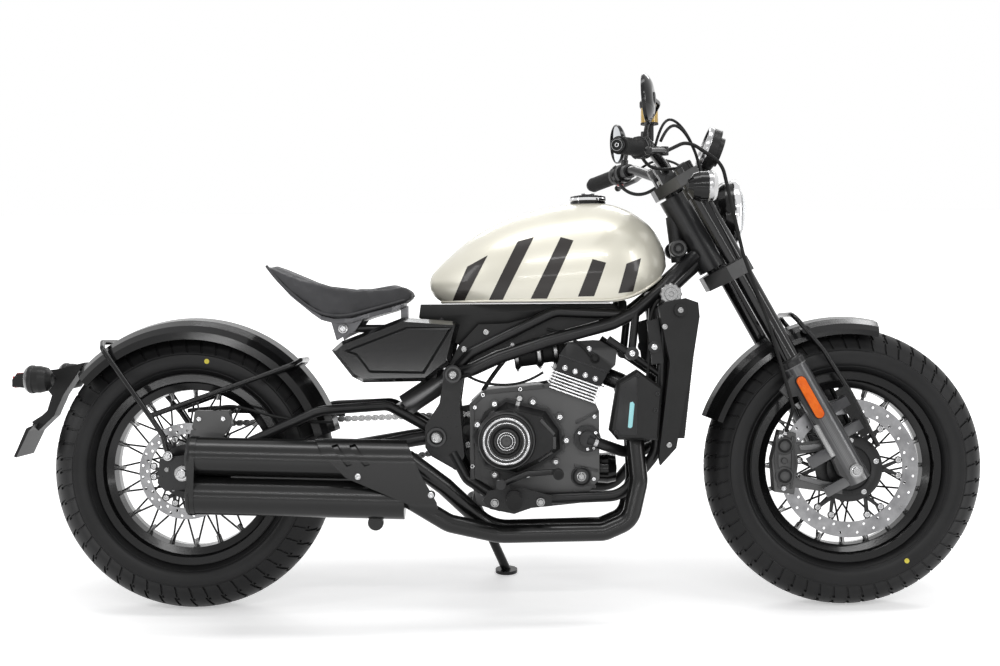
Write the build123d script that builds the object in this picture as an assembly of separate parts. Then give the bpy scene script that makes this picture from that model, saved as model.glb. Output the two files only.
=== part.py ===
from build123d import *
from math import cos, pi, radians, sin, sqrt, tan
import os

# Bobber motorcycle, parked on its side stand.
# Every piece is drawn upright first: X forward from the rear axle, Y to the left
# from the middle plane, Z up from the ground. PARKED then leans the whole of it
# to the left and brings the middle of its outline to the origin.

LEAN = 9.0
CENTRE_X = 698.9
CENTRE_Y = 167.0

# wheels and tyres
WHEELBASE = 1490.0
FRONT_RADIUS = 318.0
FRONT_HALF_WIDTH = 65.0
FRONT_CROWN = 60.0
REAR_RADIUS = 321.0
REAR_HALF_WIDTH = 75.0
REAR_CROWN = 70.0
FLANGE_RADIUS = 216.0
BEAD_RADIUS = 204.0
WELL_RADIUS = 180.0
SPOKE_PLACES = 20
SPOKE_RADIUS = 2.2
DISC_HOLES = 24
DISC_HOLE_RADIUS = 3.2
AXLE_RADIUS = 10.0
AXLE_PLAY = 0.05

# a round crown that leans touches the ground a little higher up the wheel
FRONT_Z = FRONT_RADIUS - FRONT_CROWN + FRONT_CROWN / cos(radians(LEAN))
REAR_Z = REAR_RADIUS - REAR_CROWN + REAR_CROWN / cos(radians(LEAN))

# fork and steering
RAKE = 29.0
FORK_OFFSET = 38.0
LEG_Y = 105.0
SLIDER_RADIUS = 28.0
SLIDER_TOP = 281.0
STANCHION_RADIUS = 22.0
STANCHION_TOP = 782.0
LOWER_CLAMP = (500.0, 534.0)
TOP_CLAMP = (738.0, 764.0)
HEAD_TUBE = (541.0, 731.0)
HEAD_RADIUS = 32.0
STEM_RADIUS = 15.0
BAR_RADIUS = 12.0
BAR_LIFT = 792.0
GRIP_RADIUS = 17.0

# engine
CASE_HALF_WIDTH = 95.0
BARREL_HALF_WIDTH = 112.0
BARREL_TILT = 20.0
BARREL_BASE = (863.5, 486.5)
FIN_COUNT = 6
FIN_PITCH = 7.2
FIN_THICKNESS = 3.4
HEADER_RADIUS = 20.0
MUFFLER_RADIUS = 42.0
MUFFLER_Y = -200.0

# frame
TUBE_Y = 110.0
MAIN_TUBE = 14.0
CRADLE_TUBE = 12.5
PIVOT = (560.0, 395.0)
PLATE_Y = (82.0, 90.0)

# chain drive
CHAIN_Y = (97.0, 111.0)
CHAIN_HALF = 7.0
REAR_PITCH_RADIUS = 93.0
FRONT_PITCH_RADIUS = 36.0
FRONT_SPROCKET = (628.0, 400.0)
CHAIN_LINKS = 104

SEAT_GAP = 0.3

PARKED = Pos(-CENTRE_X, -CENTRE_Y, 0) * Rot(X=-LEAN)
FORK = Plane(
    origin=(
        WHEELBASE - FORK_OFFSET * cos(radians(RAKE)),
        0,
        FRONT_Z - FORK_OFFSET * sin(radians(RAKE)),
    ),
    x_dir=(cos(radians(RAKE)), 0, sin(radians(RAKE))),
    z_dir=(-sin(radians(RAKE)), 0, cos(radians(RAKE))),
).location


def rod(start, end, radius):
    """Round bar between two points."""
    a = Vector(*start)
    b = Vector(*end)
    return extrude(Plane(origin=a, z_dir=b - a) * Circle(radius), amount=(b - a).length)


def tube(points, bends, radius):
    """Round bar bent along straight runs with arcs between them."""
    path = FilletPolyline(*points, radius=bends)
    return sweep(Plane(origin=path @ 0, z_dir=path % 0) * Circle(radius), path=path)


def slab(outline, near, far):
    """Side view outline given as X and Z, thick from one Y to another."""
    face = make_face(Polyline(*[(x, 0, z) for x, z in outline], close=True))
    low = min(near, far)
    return Pos(0, low, 0) * extrude(face, amount=abs(far - near), dir=(0, 1, 0))


def bevelled(outline, near, far, slope):
    """Side view outline whose sides lean in towards its outer face."""
    face = make_face(Polyline(*[(x, 0, z) for x, z in outline], close=True))
    grown = extrude(face, amount=abs(far - near), dir=(0, 1, 0), taper=slope)
    if far < near:
        grown = mirror(grown, about=Plane.XZ)
        return Pos(0, near, 0) * grown
    return Pos(0, near, 0) * grown


def drum(x, z, radius, near, far):
    """Cylinder across the motorcycle."""
    return rod((x, min(near, far), z), (x, max(near, far), z), radius)


def block(x0, x1, y0, y1, z0, z1):
    """Box between limits."""
    size = Box(x1 - x0, y1 - y0, z1 - z0)
    return Pos((x0 + x1) / 2, (y0 + y1) / 2, (z0 + z1) / 2) * size


def pair(shape):
    """The shape and its mirror image on the other side."""
    return shape + mirror(shape, about=Plane.XZ)


def turned(section, x, z):
    """Ring about an axle: section given as radius and Y."""
    face = make_face(Polyline(*section, close=True))
    return Pos(x, 0, z) * revolve(face, axis=Axis.Y)


def along_x(section, y, z):
    """Turned form about a line along X: section given as X and radius."""
    face = make_face(Polyline(*section, close=True))
    return Pos(0, y, z) * revolve(face, axis=Axis.X)


def along_y(section, x, z):
    """Turned form about a line across: section given as radius and distance to the right."""
    face = make_face(Polyline(*[(radius, -out) for radius, out in section], close=True))
    return Pos(x, 0, z) * revolve(face, axis=Axis.Y)


def ring_part(inner, outer, near, far, x, z):
    """Flat ring about an axle."""
    return drum(x, z, outer, near, far) - drum(x, z, inner, near - 1, far + 1)


# Wheels

def tyre(radius, half, crown, rim_half, x, z):
    """Hollow tyre with a round crown, seated on the rim."""
    edge = crown - 4.0
    shoulder = radius - crown + sqrt(crown * crown - edge * edge)
    outer = [
        Line((BEAD_RADIUS, rim_half - 0.3), (FLANGE_RADIUS + 2, rim_half - 0.3)),
        Line((FLANGE_RADIUS + 2, rim_half - 0.3), (FLANGE_RADIUS + 6, rim_half + 7)),
        ThreePointArc(
            (FLANGE_RADIUS + 6, rim_half + 7),
            (FLANGE_RADIUS + 32, half),
            (shoulder, edge),
        ),
        ThreePointArc((shoulder, edge), (radius, 0), (shoulder, -edge)),
        ThreePointArc(
            (shoulder, -edge),
            (FLANGE_RADIUS + 32, -half),
            (FLANGE_RADIUS + 6, -rim_half - 7),
        ),
        Line((FLANGE_RADIUS + 6, -rim_half - 7), (FLANGE_RADIUS + 2, -rim_half + 0.3)),
        Line((FLANGE_RADIUS + 2, -rim_half + 0.3), (BEAD_RADIUS, -rim_half + 0.3)),
    ]
    inner = [
        Line((BEAD_RADIUS, -rim_half + 0.3), (BEAD_RADIUS, -rim_half + 12)),
        Line((BEAD_RADIUS, -rim_half + 12), (FLANGE_RADIUS + 6, -rim_half + 5)),
        ThreePointArc(
            (FLANGE_RADIUS + 6, -rim_half + 5),
            (FLANGE_RADIUS + 32, 9 - half),
            (shoulder - 8, 10 - edge),
        ),
        ThreePointArc((shoulder - 8, 10 - edge), (radius - 13, 0), (shoulder - 8, edge - 10)),
        ThreePointArc(
            (shoulder - 8, edge - 10),
            (FLANGE_RADIUS + 32, half - 9),
            (FLANGE_RADIUS + 6, rim_half - 5),
        ),
        Line((FLANGE_RADIUS + 6, rim_half - 5), (BEAD_RADIUS, rim_half - 12)),
        Line((BEAD_RADIUS, rim_half - 12), (BEAD_RADIUS, rim_half - 0.3)),
    ]
    face = make_face(outer + inner)
    return Pos(x, 0, z) * revolve(face, axis=Axis.Y)


def spoked_wheel(rim_half, hub_half, flange_y, x, z):
    """Rim, crossed spokes and hub in one piece, bored for the axle."""
    rim = turned(
        [
            (FLANGE_RADIUS, rim_half + 5),
            (FLANGE_RADIUS, rim_half),
            (BEAD_RADIUS, rim_half),
            (BEAD_RADIUS, rim_half - 14),
            (WELL_RADIUS + 8, rim_half - 22),
            (WELL_RADIUS + 8, 22 - rim_half),
            (BEAD_RADIUS, 14 - rim_half),
            (BEAD_RADIUS, -rim_half),
            (FLANGE_RADIUS, -rim_half),
            (FLANGE_RADIUS, -rim_half - 5),
            (BEAD_RADIUS - 4, -rim_half - 5),
            (BEAD_RADIUS - 8, 12 - rim_half),
            (WELL_RADIUS, 18 - rim_half),
            (WELL_RADIUS - 2, 0),
            (WELL_RADIUS, rim_half - 18),
            (BEAD_RADIUS - 8, rim_half - 12),
            (BEAD_RADIUS - 4, rim_half + 5),
        ],
        x,
        z,
    )
    hub = turned(
        [
            (AXLE_RADIUS + AXLE_PLAY, -hub_half),
            (28, -hub_half),
            (34, -flange_y - 3),
            (48, -flange_y - 3),
            (48, 3 - flange_y),
            (30, 10 - flange_y),
            (30, flange_y - 10),
            (48, flange_y - 3),
            (48, flange_y + 3),
            (34, flange_y + 3),
            (28, hub_half),
            (AXLE_RADIUS + AXLE_PLAY, hub_half),
        ],
        x,
        z,
    )
    spokes = []
    for place in range(SPOKE_PLACES):
        for side in (-1, 1):
            lead = 52 if (place + (side > 0)) % 2 == 0 else -52
            outer = radians(place * 360 / SPOKE_PLACES)
            inner = outer + radians(lead)
            spokes.append(
                rod(
                    (x + 43 * cos(inner), side * flange_y, z + 43 * sin(inner)),
                    (
                        x + (WELL_RADIUS + 3) * cos(outer),
                        side * 9,
                        z + (WELL_RADIUS + 3) * sin(outer),
                    ),
                    SPOKE_RADIUS,
                )
            )
    return rim.fuse(hub, *spokes)


def brake_disc(outer, inner, arms, rows, near, far, hub_radius, x, z):
    """Drilled braking ring on a carrier with spread arms."""
    holes = []
    for row, radius in enumerate(rows):
        for place in range(DISC_HOLES):
            turn = 2 * pi * (place + row / 2) / DISC_HOLES
            centre = (x + radius * cos(turn), z + radius * sin(turn))
            holes.append(drum(*centre, DISC_HOLE_RADIUS, near - 1, far + 1))
    shape = ring_part(inner, outer, near, far, x, z).cut(*holes)
    shape += ring_part(hub_radius - 14, hub_radius, near, far, x, z)
    for arm in range(arms):
        for turn in (-9, 9):
            base = radians(arm * 360 / arms)
            tip = base + radians(turn)
            shape += rod(
                (x + (hub_radius - 4) * cos(base), (near + far) / 2, z + (hub_radius - 4) * sin(base)),
                (x + (inner + 3) * cos(tip), (near + far) / 2, z + (inner + 3) * sin(tip)),
                abs(far - near) / 2 - 0.2,
            )
    return shape


front_tyre = tyre(FRONT_RADIUS, FRONT_HALF_WIDTH, FRONT_CROWN, 42.0, WHEELBASE, FRONT_Z)
front_wheel = spoked_wheel(42.0, 52.0, 36.0, WHEELBASE, FRONT_Z)
front_disc = brake_disc(157.0, 122.0, 6, (131.0, 147.0), -70.0, -65.5, 74.0, WHEELBASE, FRONT_Z)
front_disc += ring_part(28.5, 64.0, -65.5, -58.0, WHEELBASE, FRONT_Z)
front_disc += ring_part(AXLE_RADIUS + 2, 36.0, -58.0, -52.0, WHEELBASE, FRONT_Z)

rear_tyre = tyre(REAR_RADIUS, REAR_HALF_WIDTH, REAR_CROWN, 50.0, 0, REAR_Z)
rear_wheel = spoked_wheel(50.0, 62.0, 40.0, 0, REAR_Z)
rear_disc = brake_disc(108.0, 84.0, 6, (91.0, 101.0), -92.0, -87.5, 60.0, 0, REAR_Z)
rear_disc += ring_part(AXLE_RADIUS + 2, 50.0, -87.5, -62.0, 0, REAR_Z)
rear_sprocket = ring_part(AXLE_RADIUS + 2, 81.0, 101.0, 107.0, 0, REAR_Z)
rear_sprocket += ring_part(AXLE_RADIUS + 2, 54.0, 62.0, 101.0, 0, REAR_Z)

# Fork, built about the steering line: X ahead of it, Z up along it

def leg(shape):
    """The same piece on both fork legs."""
    return FORK * pair(Pos(FORK_OFFSET, -LEG_Y, 0) * shape)


def upright(radius, low, high):
    """Round piece along the leg between two heights."""
    return Pos(0, 0, (low + high) / 2) * Cylinder(radius, high - low)


def fork_point(ahead, y, up):
    """Point given by the steering line, in the upright drawing."""
    rake = radians(RAKE)
    return (
        WHEELBASE + (ahead - FORK_OFFSET) * cos(rake) - up * sin(rake),
        y,
        FRONT_Z + (ahead - FORK_OFFSET) * sin(rake) + up * cos(rake),
    )


stanchion = upright(STANCHION_RADIUS, SLIDER_TOP - 30, STANCHION_TOP)
fork_tubes = leg(stanchion)

slider = upright(SLIDER_RADIUS, -28, SLIDER_TOP)
slider += upright(SLIDER_RADIUS + 2, SLIDER_TOP - 16, SLIDER_TOP)
for low, high in ((70, 92), (130, 152)):
    slider += Pos(44, 0, (low + high) / 2) * Box(44, 20, high - low)
slider -= upright(STANCHION_RADIUS, SLIDER_TOP - 30, SLIDER_TOP + 1)
slider -= Rot(X=90) * Cylinder(AXLE_RADIUS, 100)
lug = Pos(-50, 0, 60) * Box(60, 12, 26) + Pos(-50, 0, -14) * Box(60, 12, 22)
fork_sliders = leg(slider) + FORK * Pos(FORK_OFFSET, -LEG_Y - 8, 0) * lug
fork_sliders -= drum(WHEELBASE, FRONT_Z, AXLE_RADIUS, -200, 200)

front_axle = drum(WHEELBASE, FRONT_Z, AXLE_RADIUS, -136, 136)
for side in (-1, 1):
    front_axle += drum(
        WHEELBASE, FRONT_Z, 15.0, side * (LEG_Y + SLIDER_RADIUS + 0.2), side * 141
    )
spacer = drum(WHEELBASE, FRONT_Z, 11.8, 52.5, LEG_Y - SLIDER_RADIUS - 0.5)
front_axle += pair(spacer)

clamp_outline = [
    (FORK_OFFSET + 26, -LEG_Y - 12),
    (FORK_OFFSET + 26, -LEG_Y + 16),
    (34, -30),
    (34, 30),
    (FORK_OFFSET + 26, LEG_Y - 16),
    (FORK_OFFSET + 26, LEG_Y + 12),
    (FORK_OFFSET, LEG_Y + 31),
    (FORK_OFFSET - 27, LEG_Y + 14),
    (-34, 34),
    (-34, -34),
    (FORK_OFFSET - 27, -LEG_Y - 14),
    (FORK_OFFSET, -LEG_Y - 31),
]
clamp_face = make_face(Polyline(*clamp_outline, close=True))
clamps = Pos(0, 0, LOWER_CLAMP[0]) * extrude(clamp_face, amount=LOWER_CLAMP[1] - LOWER_CLAMP[0])
clamps += Pos(0, 0, TOP_CLAMP[0]) * extrude(clamp_face, amount=TOP_CLAMP[1] - TOP_CLAMP[0])
clamps += upright(STEM_RADIUS, LOWER_CLAMP[0], TOP_CLAMP[1] + 6)
for side in (-1, 1):
    clamps += Pos(4, side * 50, (TOP_CLAMP[1] + BAR_LIFT) / 2) * Box(34, 26, BAR_LIFT - TOP_CLAMP[1])
    clamps += Pos(4, side * 50, BAR_LIFT + 9) * Box(38, 26, 20)
    clamps -= Pos(FORK_OFFSET, side * LEG_Y, 0) * upright(STANCHION_RADIUS, 400, 900)
triple_clamps = FORK * clamps

# handlebar, bent in arcs between straight runs, and its grips
bar_centre = fork_point(4, 0, BAR_LIFT)
bar_half = [
    (bar_centre[0], 0, bar_centre[2]),
    (bar_centre[0], -92, bar_centre[2]),
    (1032, -200, 1026),
    (946, -396, 1009),
]
grip_line = (Vector(*bar_half[3]) - Vector(*bar_half[2])).normalized()
grip_inner = Vector(*bar_half[2]) + grip_line * 88
grip_outer = grip_inner + grip_line * 124
bar_half[3] = tuple(grip_outer)
bar_side = tube(bar_half, [45, 60], BAR_RADIUS)
handlebar = bar_side + mirror(bar_side, about=Plane.XZ)
triple_clamps -= handlebar

grip_shell = rod(grip_inner, grip_outer, GRIP_RADIUS) - rod(
    grip_inner - grip_line,
    grip_outer + grip_line,
    BAR_RADIUS,
)
grips = pair(grip_shell)
bar_end = rod(grip_outer, grip_outer + grip_line * 12, 14.0)
bar_ends = pair(bar_end)
handlebar += bar_ends

# switch housings with levers and a brake reservoir, inboard of the grips
housing_out = grip_inner - grip_line * 0.5
housing_in = housing_out - grip_line * 44
housing = rod(housing_in, housing_out, 23.0)
perch_in = housing_in - grip_line * 26
housing += rod(perch_in, housing_in + grip_line * 0.5, 18.0)
housing -= rod(perch_in - grip_line * 2, housing_out + grip_line * 2, BAR_RADIUS)
switches = pair(housing)

lever_root = Vector(perch_in.X + 34, perch_in.Y - 4, perch_in.Z - 6)
lever_mid = Vector(grip_inner.X + 52, grip_inner.Y - 10, grip_inner.Z - 8)
lever_tip = Vector(grip_outer.X + 62, grip_outer.Y + 14, grip_outer.Z - 10)
lever = tube([tuple(lever_root), tuple(lever_mid), tuple(lever_tip)], [40], 6.0)
lever += Pos(lever_tip.X, lever_tip.Y, lever_tip.Z) * Sphere(8.5)
lever += rod(tuple(lever_root + Vector(0, 0, -9)), tuple(lever_root + Vector(0, 0, 9)), 10.0)
lever += rod(tuple(perch_in + grip_line * 12 + Vector(16, 0, -2)), tuple(lever_root), 8.0)
levers = pair(lever) - switches

reservoir_foot = perch_in + grip_line * 8
reservoir = rod(
    (reservoir_foot.X + 6, reservoir_foot.Y, reservoir_foot.Z + 16),
    (reservoir_foot.X + 6, reservoir_foot.Y, reservoir_foot.Z + 52),
    9.0,
)
reservoir += rod(
    (reservoir_foot.X + 6, reservoir_foot.Y, reservoir_foot.Z + 52),
    (reservoir_foot.X + 6, reservoir_foot.Y, reservoir_foot.Z + 102),
    18.0,
)
brake_reservoir = reservoir - switches

# mirrors on bent stems
MIRROR_AT = (1005.0, -360.0, 1110.0)
MIRROR_TURN = 13.0
mirror_plane = Plane(
    origin=MIRROR_AT,
    z_dir=(cos(radians(MIRROR_TURN)), -sin(radians(MIRROR_TURN)), 0.06),
)
mirror_profile = [
    Line((0, 0), (50, 0)),
    Line((50, 0), (50, 5)),
    ThreePointArc((50, 5), (40, 13), (14, 18)),
    Line((14, 18), (0, 18)),
    Line((0, 18), (0, 0)),
]
mirror_dish = revolve(make_face(mirror_profile), axis=Axis.Y)
glass_body = mirror_plane.location * (Rot(X=90) * mirror_dish)
stem_foot = housing_in + grip_line * 10
mirror_stem = tube(
    [
        (stem_foot.X + 4, stem_foot.Y, stem_foot.Z + 20),
        (stem_foot.X + 10, stem_foot.Y, stem_foot.Z + 52),
        (1040, -300, 1108),
        (1019, -352, 1112),
    ],
    [16, 26],
    5.0,
)
mirror_side = glass_body + mirror_stem
mirror_side += rod(
    (
        stem_foot.X + 4,
        stem_foot.Y,
        stem_foot.Z + 19,
    ), (stem_foot.X + 5, stem_foot.Y, stem_foot.Z + 34), 9.0
)
mirrors = pair(mirror_side) - switches

# headlight, gauge and signals
LAMP_X = 1244.0
LAMP_Z = 901.0
LAMP_RADIUS = 75.0
headlight = along_x(
    [
        (1193, 0),
        (1193, 36),
        (1201, 60),
        (1216, 71),
        (LAMP_X, LAMP_RADIUS),
        (LAMP_X, LAMP_RADIUS - 5),
        (1218, LAMP_RADIUS - 9),
        (1205, 54),
        (1199, 0),
    ],
    0,
    LAMP_Z,
)
headlight += block(1229, LAMP_X, -15, 15, 762, LAMP_Z - 66)
headlight -= along_x([(1199, 0), (1205, 54), (1218, 66), (LAMP_X, 70), (LAMP_X, 0)], 0, LAMP_Z)
headlight -= triple_clamps
for side in (-1, 1):
    arm = rod((1225, side * 68, LAMP_Z + 6), (1225, side * 82, LAMP_Z + 6), 11.0)
    headlight += arm
lens_back = LAMP_X + SEAT_GAP
lens_edges = [
    Line((lens_back, 0), (lens_back, 73)),
    Line((lens_back, 73), (LAMP_X + 4, 72)),
    ThreePointArc((LAMP_X + 4, 72), (LAMP_X + 22, 38), (LAMP_X + 29, 3)),
    Line((LAMP_X + 29, 3), (LAMP_X + 29, 0)),
    Line((LAMP_X + 29, 0), (lens_back, 0)),
]
headlight_lens = Pos(0, 0, LAMP_Z) * revolve(make_face(lens_edges), axis=Axis.X)

gauge_plane = Plane(
    origin=(1190, 0, 1050),
    x_dir=(0, -1, 0),
    z_dir=(-cos(radians(20)), 0, sin(radians(20))),
)
gauge = extrude(gauge_plane.offset(-14) * Circle(49), amount=28)
gauge += extrude(gauge_plane.offset(-26) * Circle(34), amount=12)
gauge_stay = tube([fork_point(26, 0, 752), (1168, 0, 985), (1206, 0, 1034)], [20], 9.0)
gauge += gauge_stay
gauge -= triple_clamps

signal_leg = fork_point(FORK_OFFSET, -LEG_Y, 717)
SIGNAL_Y = 190.0
SIGNAL_Z = 945.0
signal = along_x(
    [(1114, 0), (1114, 14), (1124, 28), (1140, 33), (1166, 33), (1175, 24), (1178, 0)],
    -SIGNAL_Y,
    SIGNAL_Z,
)
signal += rod((signal_leg[0], -LEG_Y - 20, signal_leg[2]), (1145, -SIGNAL_Y + 20, SIGNAL_Z), 8.0)
collar = Pos(FORK_OFFSET, -LEG_Y, 0) * upright(28, 704, 730)
signal += FORK * collar
signal -= FORK * Pos(FORK_OFFSET, -LEG_Y, 0) * upright(STANCHION_RADIUS, 600, 800)
front_signals = pair(signal)

# front fender and its brace
FENDER_RADIUS = 343.0
fender_section = [
    (FENDER_RADIUS, 0),
    (FENDER_RADIUS - 5, 34),
    (FENDER_RADIUS - 16, 58),
    (FENDER_RADIUS - 28, 72),
    (FENDER_RADIUS - 40, 75.5),
    (FENDER_RADIUS - 40, 73),
    (FENDER_RADIUS - 29, 69.6),
    (FENDER_RADIUS - 18, 56.4),
    (FENDER_RADIUS - 7.4, 33),
    (FENDER_RADIUS - 2.5, 0),
]
fender_section += [(r, -y) for r, y in reversed(fender_section[1:-1])]


def fender(section, x, z, first, last):
    """Arched fender: first and last angles are from forward, up over the top."""
    face = make_face(Polyline(*section, close=True))
    arch = revolve(face, axis=Axis.Y, revolution_arc=last - first)
    return Pos(x, 0, z) * Rot(Y=-last) * arch


front_fender = fender(fender_section, WHEELBASE, FRONT_Z, 77.0, 160.0)

hoop_low = fork_point(FORK_OFFSET + 78, -90, 14)
hoop_points = [
    hoop_low,
    fork_point(FORK_OFFSET + 83, -90, 150),
    fork_point(FORK_OFFSET + 77, -90, 266),
    fork_point(FORK_OFFSET + 57, -88, 366),
    fork_point(FORK_OFFSET + 57, 88, 366),
    fork_point(FORK_OFFSET + 77, 90, 266),
    fork_point(FORK_OFFSET + 83, 90, 150),
    fork_point(FORK_OFFSET + 78, 90, 14),
]
fender_brace = tube(hoop_points, [60, 60, 26, 26, 60, 60], 5.5)
brace_plate = Pos(FORK_OFFSET + 68, -92.2, 110) * Box(28, 5, 120)
fender_brace += FORK * pair(brace_plate)
tab_at = fork_point(FORK_OFFSET + 65, 0, 322)
for side in (-1, 1):
    fender_brace += rod(
        (tab_at[0], side * 60, tab_at[2]), (tab_at[0], side * 92, tab_at[2]), 9.0
    )
fender_brace -= front_fender
fender_brace -= Pos(WHEELBASE, 0, FRONT_Z) * Rot(X=90) * Cylinder(FENDER_RADIUS - 22, 150)
fender_brace -= fork_sliders

# front brake caliper behind the right leg
caliper = slab([(1318, 268), (1362, 262), (1371, 330), (1366, 400), (1330, 406), (1313, 340)], -92, -50)
caliper -= ring_part(60, 165, -76, -59, WHEELBASE, FRONT_Z)
front_caliper = caliper + slab([(1360, 278), (1470, 262), (1470, 284), (1365, 300)], -92, -80)
front_caliper += slab([(1360, 350), (1462, 366), (1462, 388), (1365, 376)], -92, -80)
front_caliper -= fork_sliders

# brake hose from the reservoir foot down to the caliper, held by the fork
hose_start = (perch_in.X + 40, perch_in.Y + 20, perch_in.Z - 4)
front_hose = tube(
    [
        hose_start,
        (1120, -150, 1050),
        (1195, -150, 1000),
        (1240, -152, 800),
        (1300, -142, 640),
        (1352, -138, 460),
        (1345, -100, 411),
        (1342, -84, 398),
    ],
    [40, 60, 80, 120, 20, 7],
    4.0,
)
front_hose -= front_caliper
levers += rod(tuple(perch_in + grip_line * 12 + Vector(14, 0, -2)), hose_start, 7.0) - switches
levers -= handlebar
levers -= grips
bar_controls = switches + levers
front_hose -= bar_controls
brake_reservoir -= bar_controls
mirrors -= bar_controls

# Frame

def both_tubes(points, bends, radius):
    """Bent tube on both sides."""
    return pair(tube(points, bends, radius))


head_tube = FORK * (upright(HEAD_RADIUS, HEAD_TUBE[0], HEAD_TUBE[1]))
head_bore = FORK * (upright(STEM_RADIUS + 0.05, LOWER_CLAMP[0], TOP_CLAMP[1]))
head_low = fork_point(-20, 0, 575)
head_high = fork_point(-20, 0, 690)
frame = head_tube
frame += both_tubes(
    [
        (598, -86, 536),
        (640, -TUBE_Y, 546),
        (700, -TUBE_Y, 573),
        (808, -TUBE_Y, 609),
        (953, -TUBE_Y, 647),
        (1002, -106, 671),
        (1060, -88, 718),
        (1150, -28, 803),
    ],
    [18, 60, 60, 60, 40, 40],
    MAIN_TUBE,
)
frame += both_tubes(
    [(606, -84, 550), (640, -96, 585), (826, -96, 676), (990, -96, 668)], [20, 60], MAIN_TUBE - 2
)
frame += both_tubes(
    [
        (1086, -70, 742),
        (1070, -104, 690),
        (1064, -TUBE_Y, 521),
        (1050, -TUBE_Y, 358),
        (972, -TUBE_Y, 264),
        (837, -TUBE_Y, 259),
        (700, -TUBE_Y, 257),
        (628, -84, 300),
        (596, -82, 360),
    ],
    [20, 80, 60, 60, 200, 40, 30],
    CRADLE_TUBE,
)
frame += pair(rod((1007, -TUBE_Y, 672), (997, -TUBE_Y, 582), 9.0))
frame += pair(rod((944, -TUBE_Y - 12, 614), (1064, -TUBE_Y, 530), 8.0))
frame += pair(drum(997, 581, 15.0, -TUBE_Y + 9, -TUBE_Y - 18))
frame += pair(slab([(1030, 652), (1056, 660), (1068, 560), (1042, 556)], -TUBE_Y - 8, -TUBE_Y - 13))
frame += pair(drum(1046, 595, 13.0, -TUBE_Y - 8, -TUBE_Y - 20))
frame += rod(head_low, (1060, 0, 700), 20.0)
frame += rod(head_high, (1118, 0, 790), 18.0)
frame += rod((1055, -92, 712), (1055, 92, 712), 12.0)
pivot_plate = slab(
    [
        (548, 352),
        (600, 322),
        (622, 350),
        (612, 470),
        (622, 540),
        (606, 566),
        (580, 552),
        (566, 470),
        (534, 420),
        (534, 372),
    ],
    -PLATE_Y[0],
    -PLATE_Y[1],
)
frame += pair(pivot_plate)
frame += pair(drum(596, 536, 21.0, -PLATE_Y[0], -PLATE_Y[1] - 28))
frame += drum(PIVOT[0], PIVOT[1], 10.0, -100, 100)
for x, z, radius in ((592, 545, 12.0), (604, 332, 12.0)):
    frame += drum(x, z, radius, -84, 84)
for x, z in ((690, 258), (884, 262)):
    frame += drum(x, z, 9.0, -112, -CASE_HALF_WIDTH)
    frame += drum(x, z, 9.0, 112, CASE_HALF_WIDTH)
# seat rails with a post for the tail of the tank
frame += both_tubes([(594, -70, 548), (556, -62, 640), (345, -62, 640)], [40], 9.0)
frame += drum(556, 640, 9.0, -64, 64)
frame += drum(350, 640, 8.0, -64, 64)
frame += block(562, 590, -16, 16, 636, 693)
frame += drum(572, 660, 9.0, -62, 62)
frame += pair(rod((556, -60, 640), (574, -60, 662), 8.0))
frame -= head_bore

# Side stand

STAND_PIVOT = Vector(640, 137, 226)
STAND_FOOT = Vector(716, 236, 0)
FOOT_THICKNESS = 8.0
ground = STAND_FOOT.Y * tan(radians(LEAN))
foot_up = Vector(0, -sin(radians(LEAN)), cos(radians(LEAN)))
foot_low = Vector(STAND_FOOT.X, STAND_FOOT.Y, ground)
foot_high = foot_low + foot_up * FOOT_THICKNESS
leg_line = foot_high - STAND_PIVOT
STAND_AXIS = Vector(0, -leg_line.Z, leg_line.Y).normalized()
stand_eye = rod(
    tuple(STAND_PIVOT - STAND_AXIS * 12), tuple(STAND_PIVOT + STAND_AXIS * 12), 19.0
)
side_stand = stand_eye + rod(
    tuple(STAND_PIVOT + leg_line.normalized() * 8),
    tuple(foot_high - foot_up * 2),
    11.0,
)
side_stand += rod(tuple(foot_low), tuple(foot_high), 27.0)
side_stand -= rod(tuple(STAND_PIVOT - STAND_AXIS * 30), tuple(STAND_PIVOT + STAND_AXIS * 30), 7.05)
stand_bolt = rod(tuple(STAND_PIVOT - STAND_AXIS * 36), tuple(STAND_PIVOT + STAND_AXIS * 19), 7.0)
stand_bolt += rod(tuple(STAND_PIVOT + STAND_AXIS * 13), tuple(STAND_PIVOT + STAND_AXIS * 19), 12.0)
stand_bolt += rod(tuple(STAND_PIVOT - STAND_AXIS * 21), tuple(STAND_PIVOT - STAND_AXIS * 13), 16.0)
stand_lug = stand_bolt + rod(tuple(STAND_PIVOT - STAND_AXIS * 29), (652, 97, 285), 8.5)
frame += stand_lug

# swing arm with plates for the axle
swingarm = drum(PIVOT[0], PIVOT[1], 23.0, -80, 80)
swingarm += both_tubes(
    [(556, -60, 395), (505, -66, 388), (330, -127, 356), (40, -127, REAR_Z + 6)], [80, 120], 16.0
)
swingarm += both_tubes(
    [(48, -129, 345), (300, -125, 458), (450, -72, 466), (556, -58, 405)], [80, 40], 11.0
)
swingarm += drum(470, 456, 12.0, -72, 72)
end_plate = slab(
    [(-57, 300), (-40, 282), (60, 290), (84, 320), (80, 352), (10, 362), (-52, 354)],
    -118,
    -136,
)
swingarm += pair(end_plate)
swingarm -= drum(PIVOT[0], PIVOT[1], 10.3, -200, 200)
swingarm -= drum(0, REAR_Z, AXLE_RADIUS, -300, 300)

rear_axle = drum(0, REAR_Z, AXLE_RADIUS, -146, 146)
rear_axle += pair(drum(0, REAR_Z, 17.0, -136.2, -148))
rear_axle += drum(0, REAR_Z, 13.5, 107.5, 117.7) + drum(0, REAR_Z, 13.5, -117.7, -106.3)
rear_axle += drum(0, REAR_Z, 13.5, -99.7, -92.8)

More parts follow.
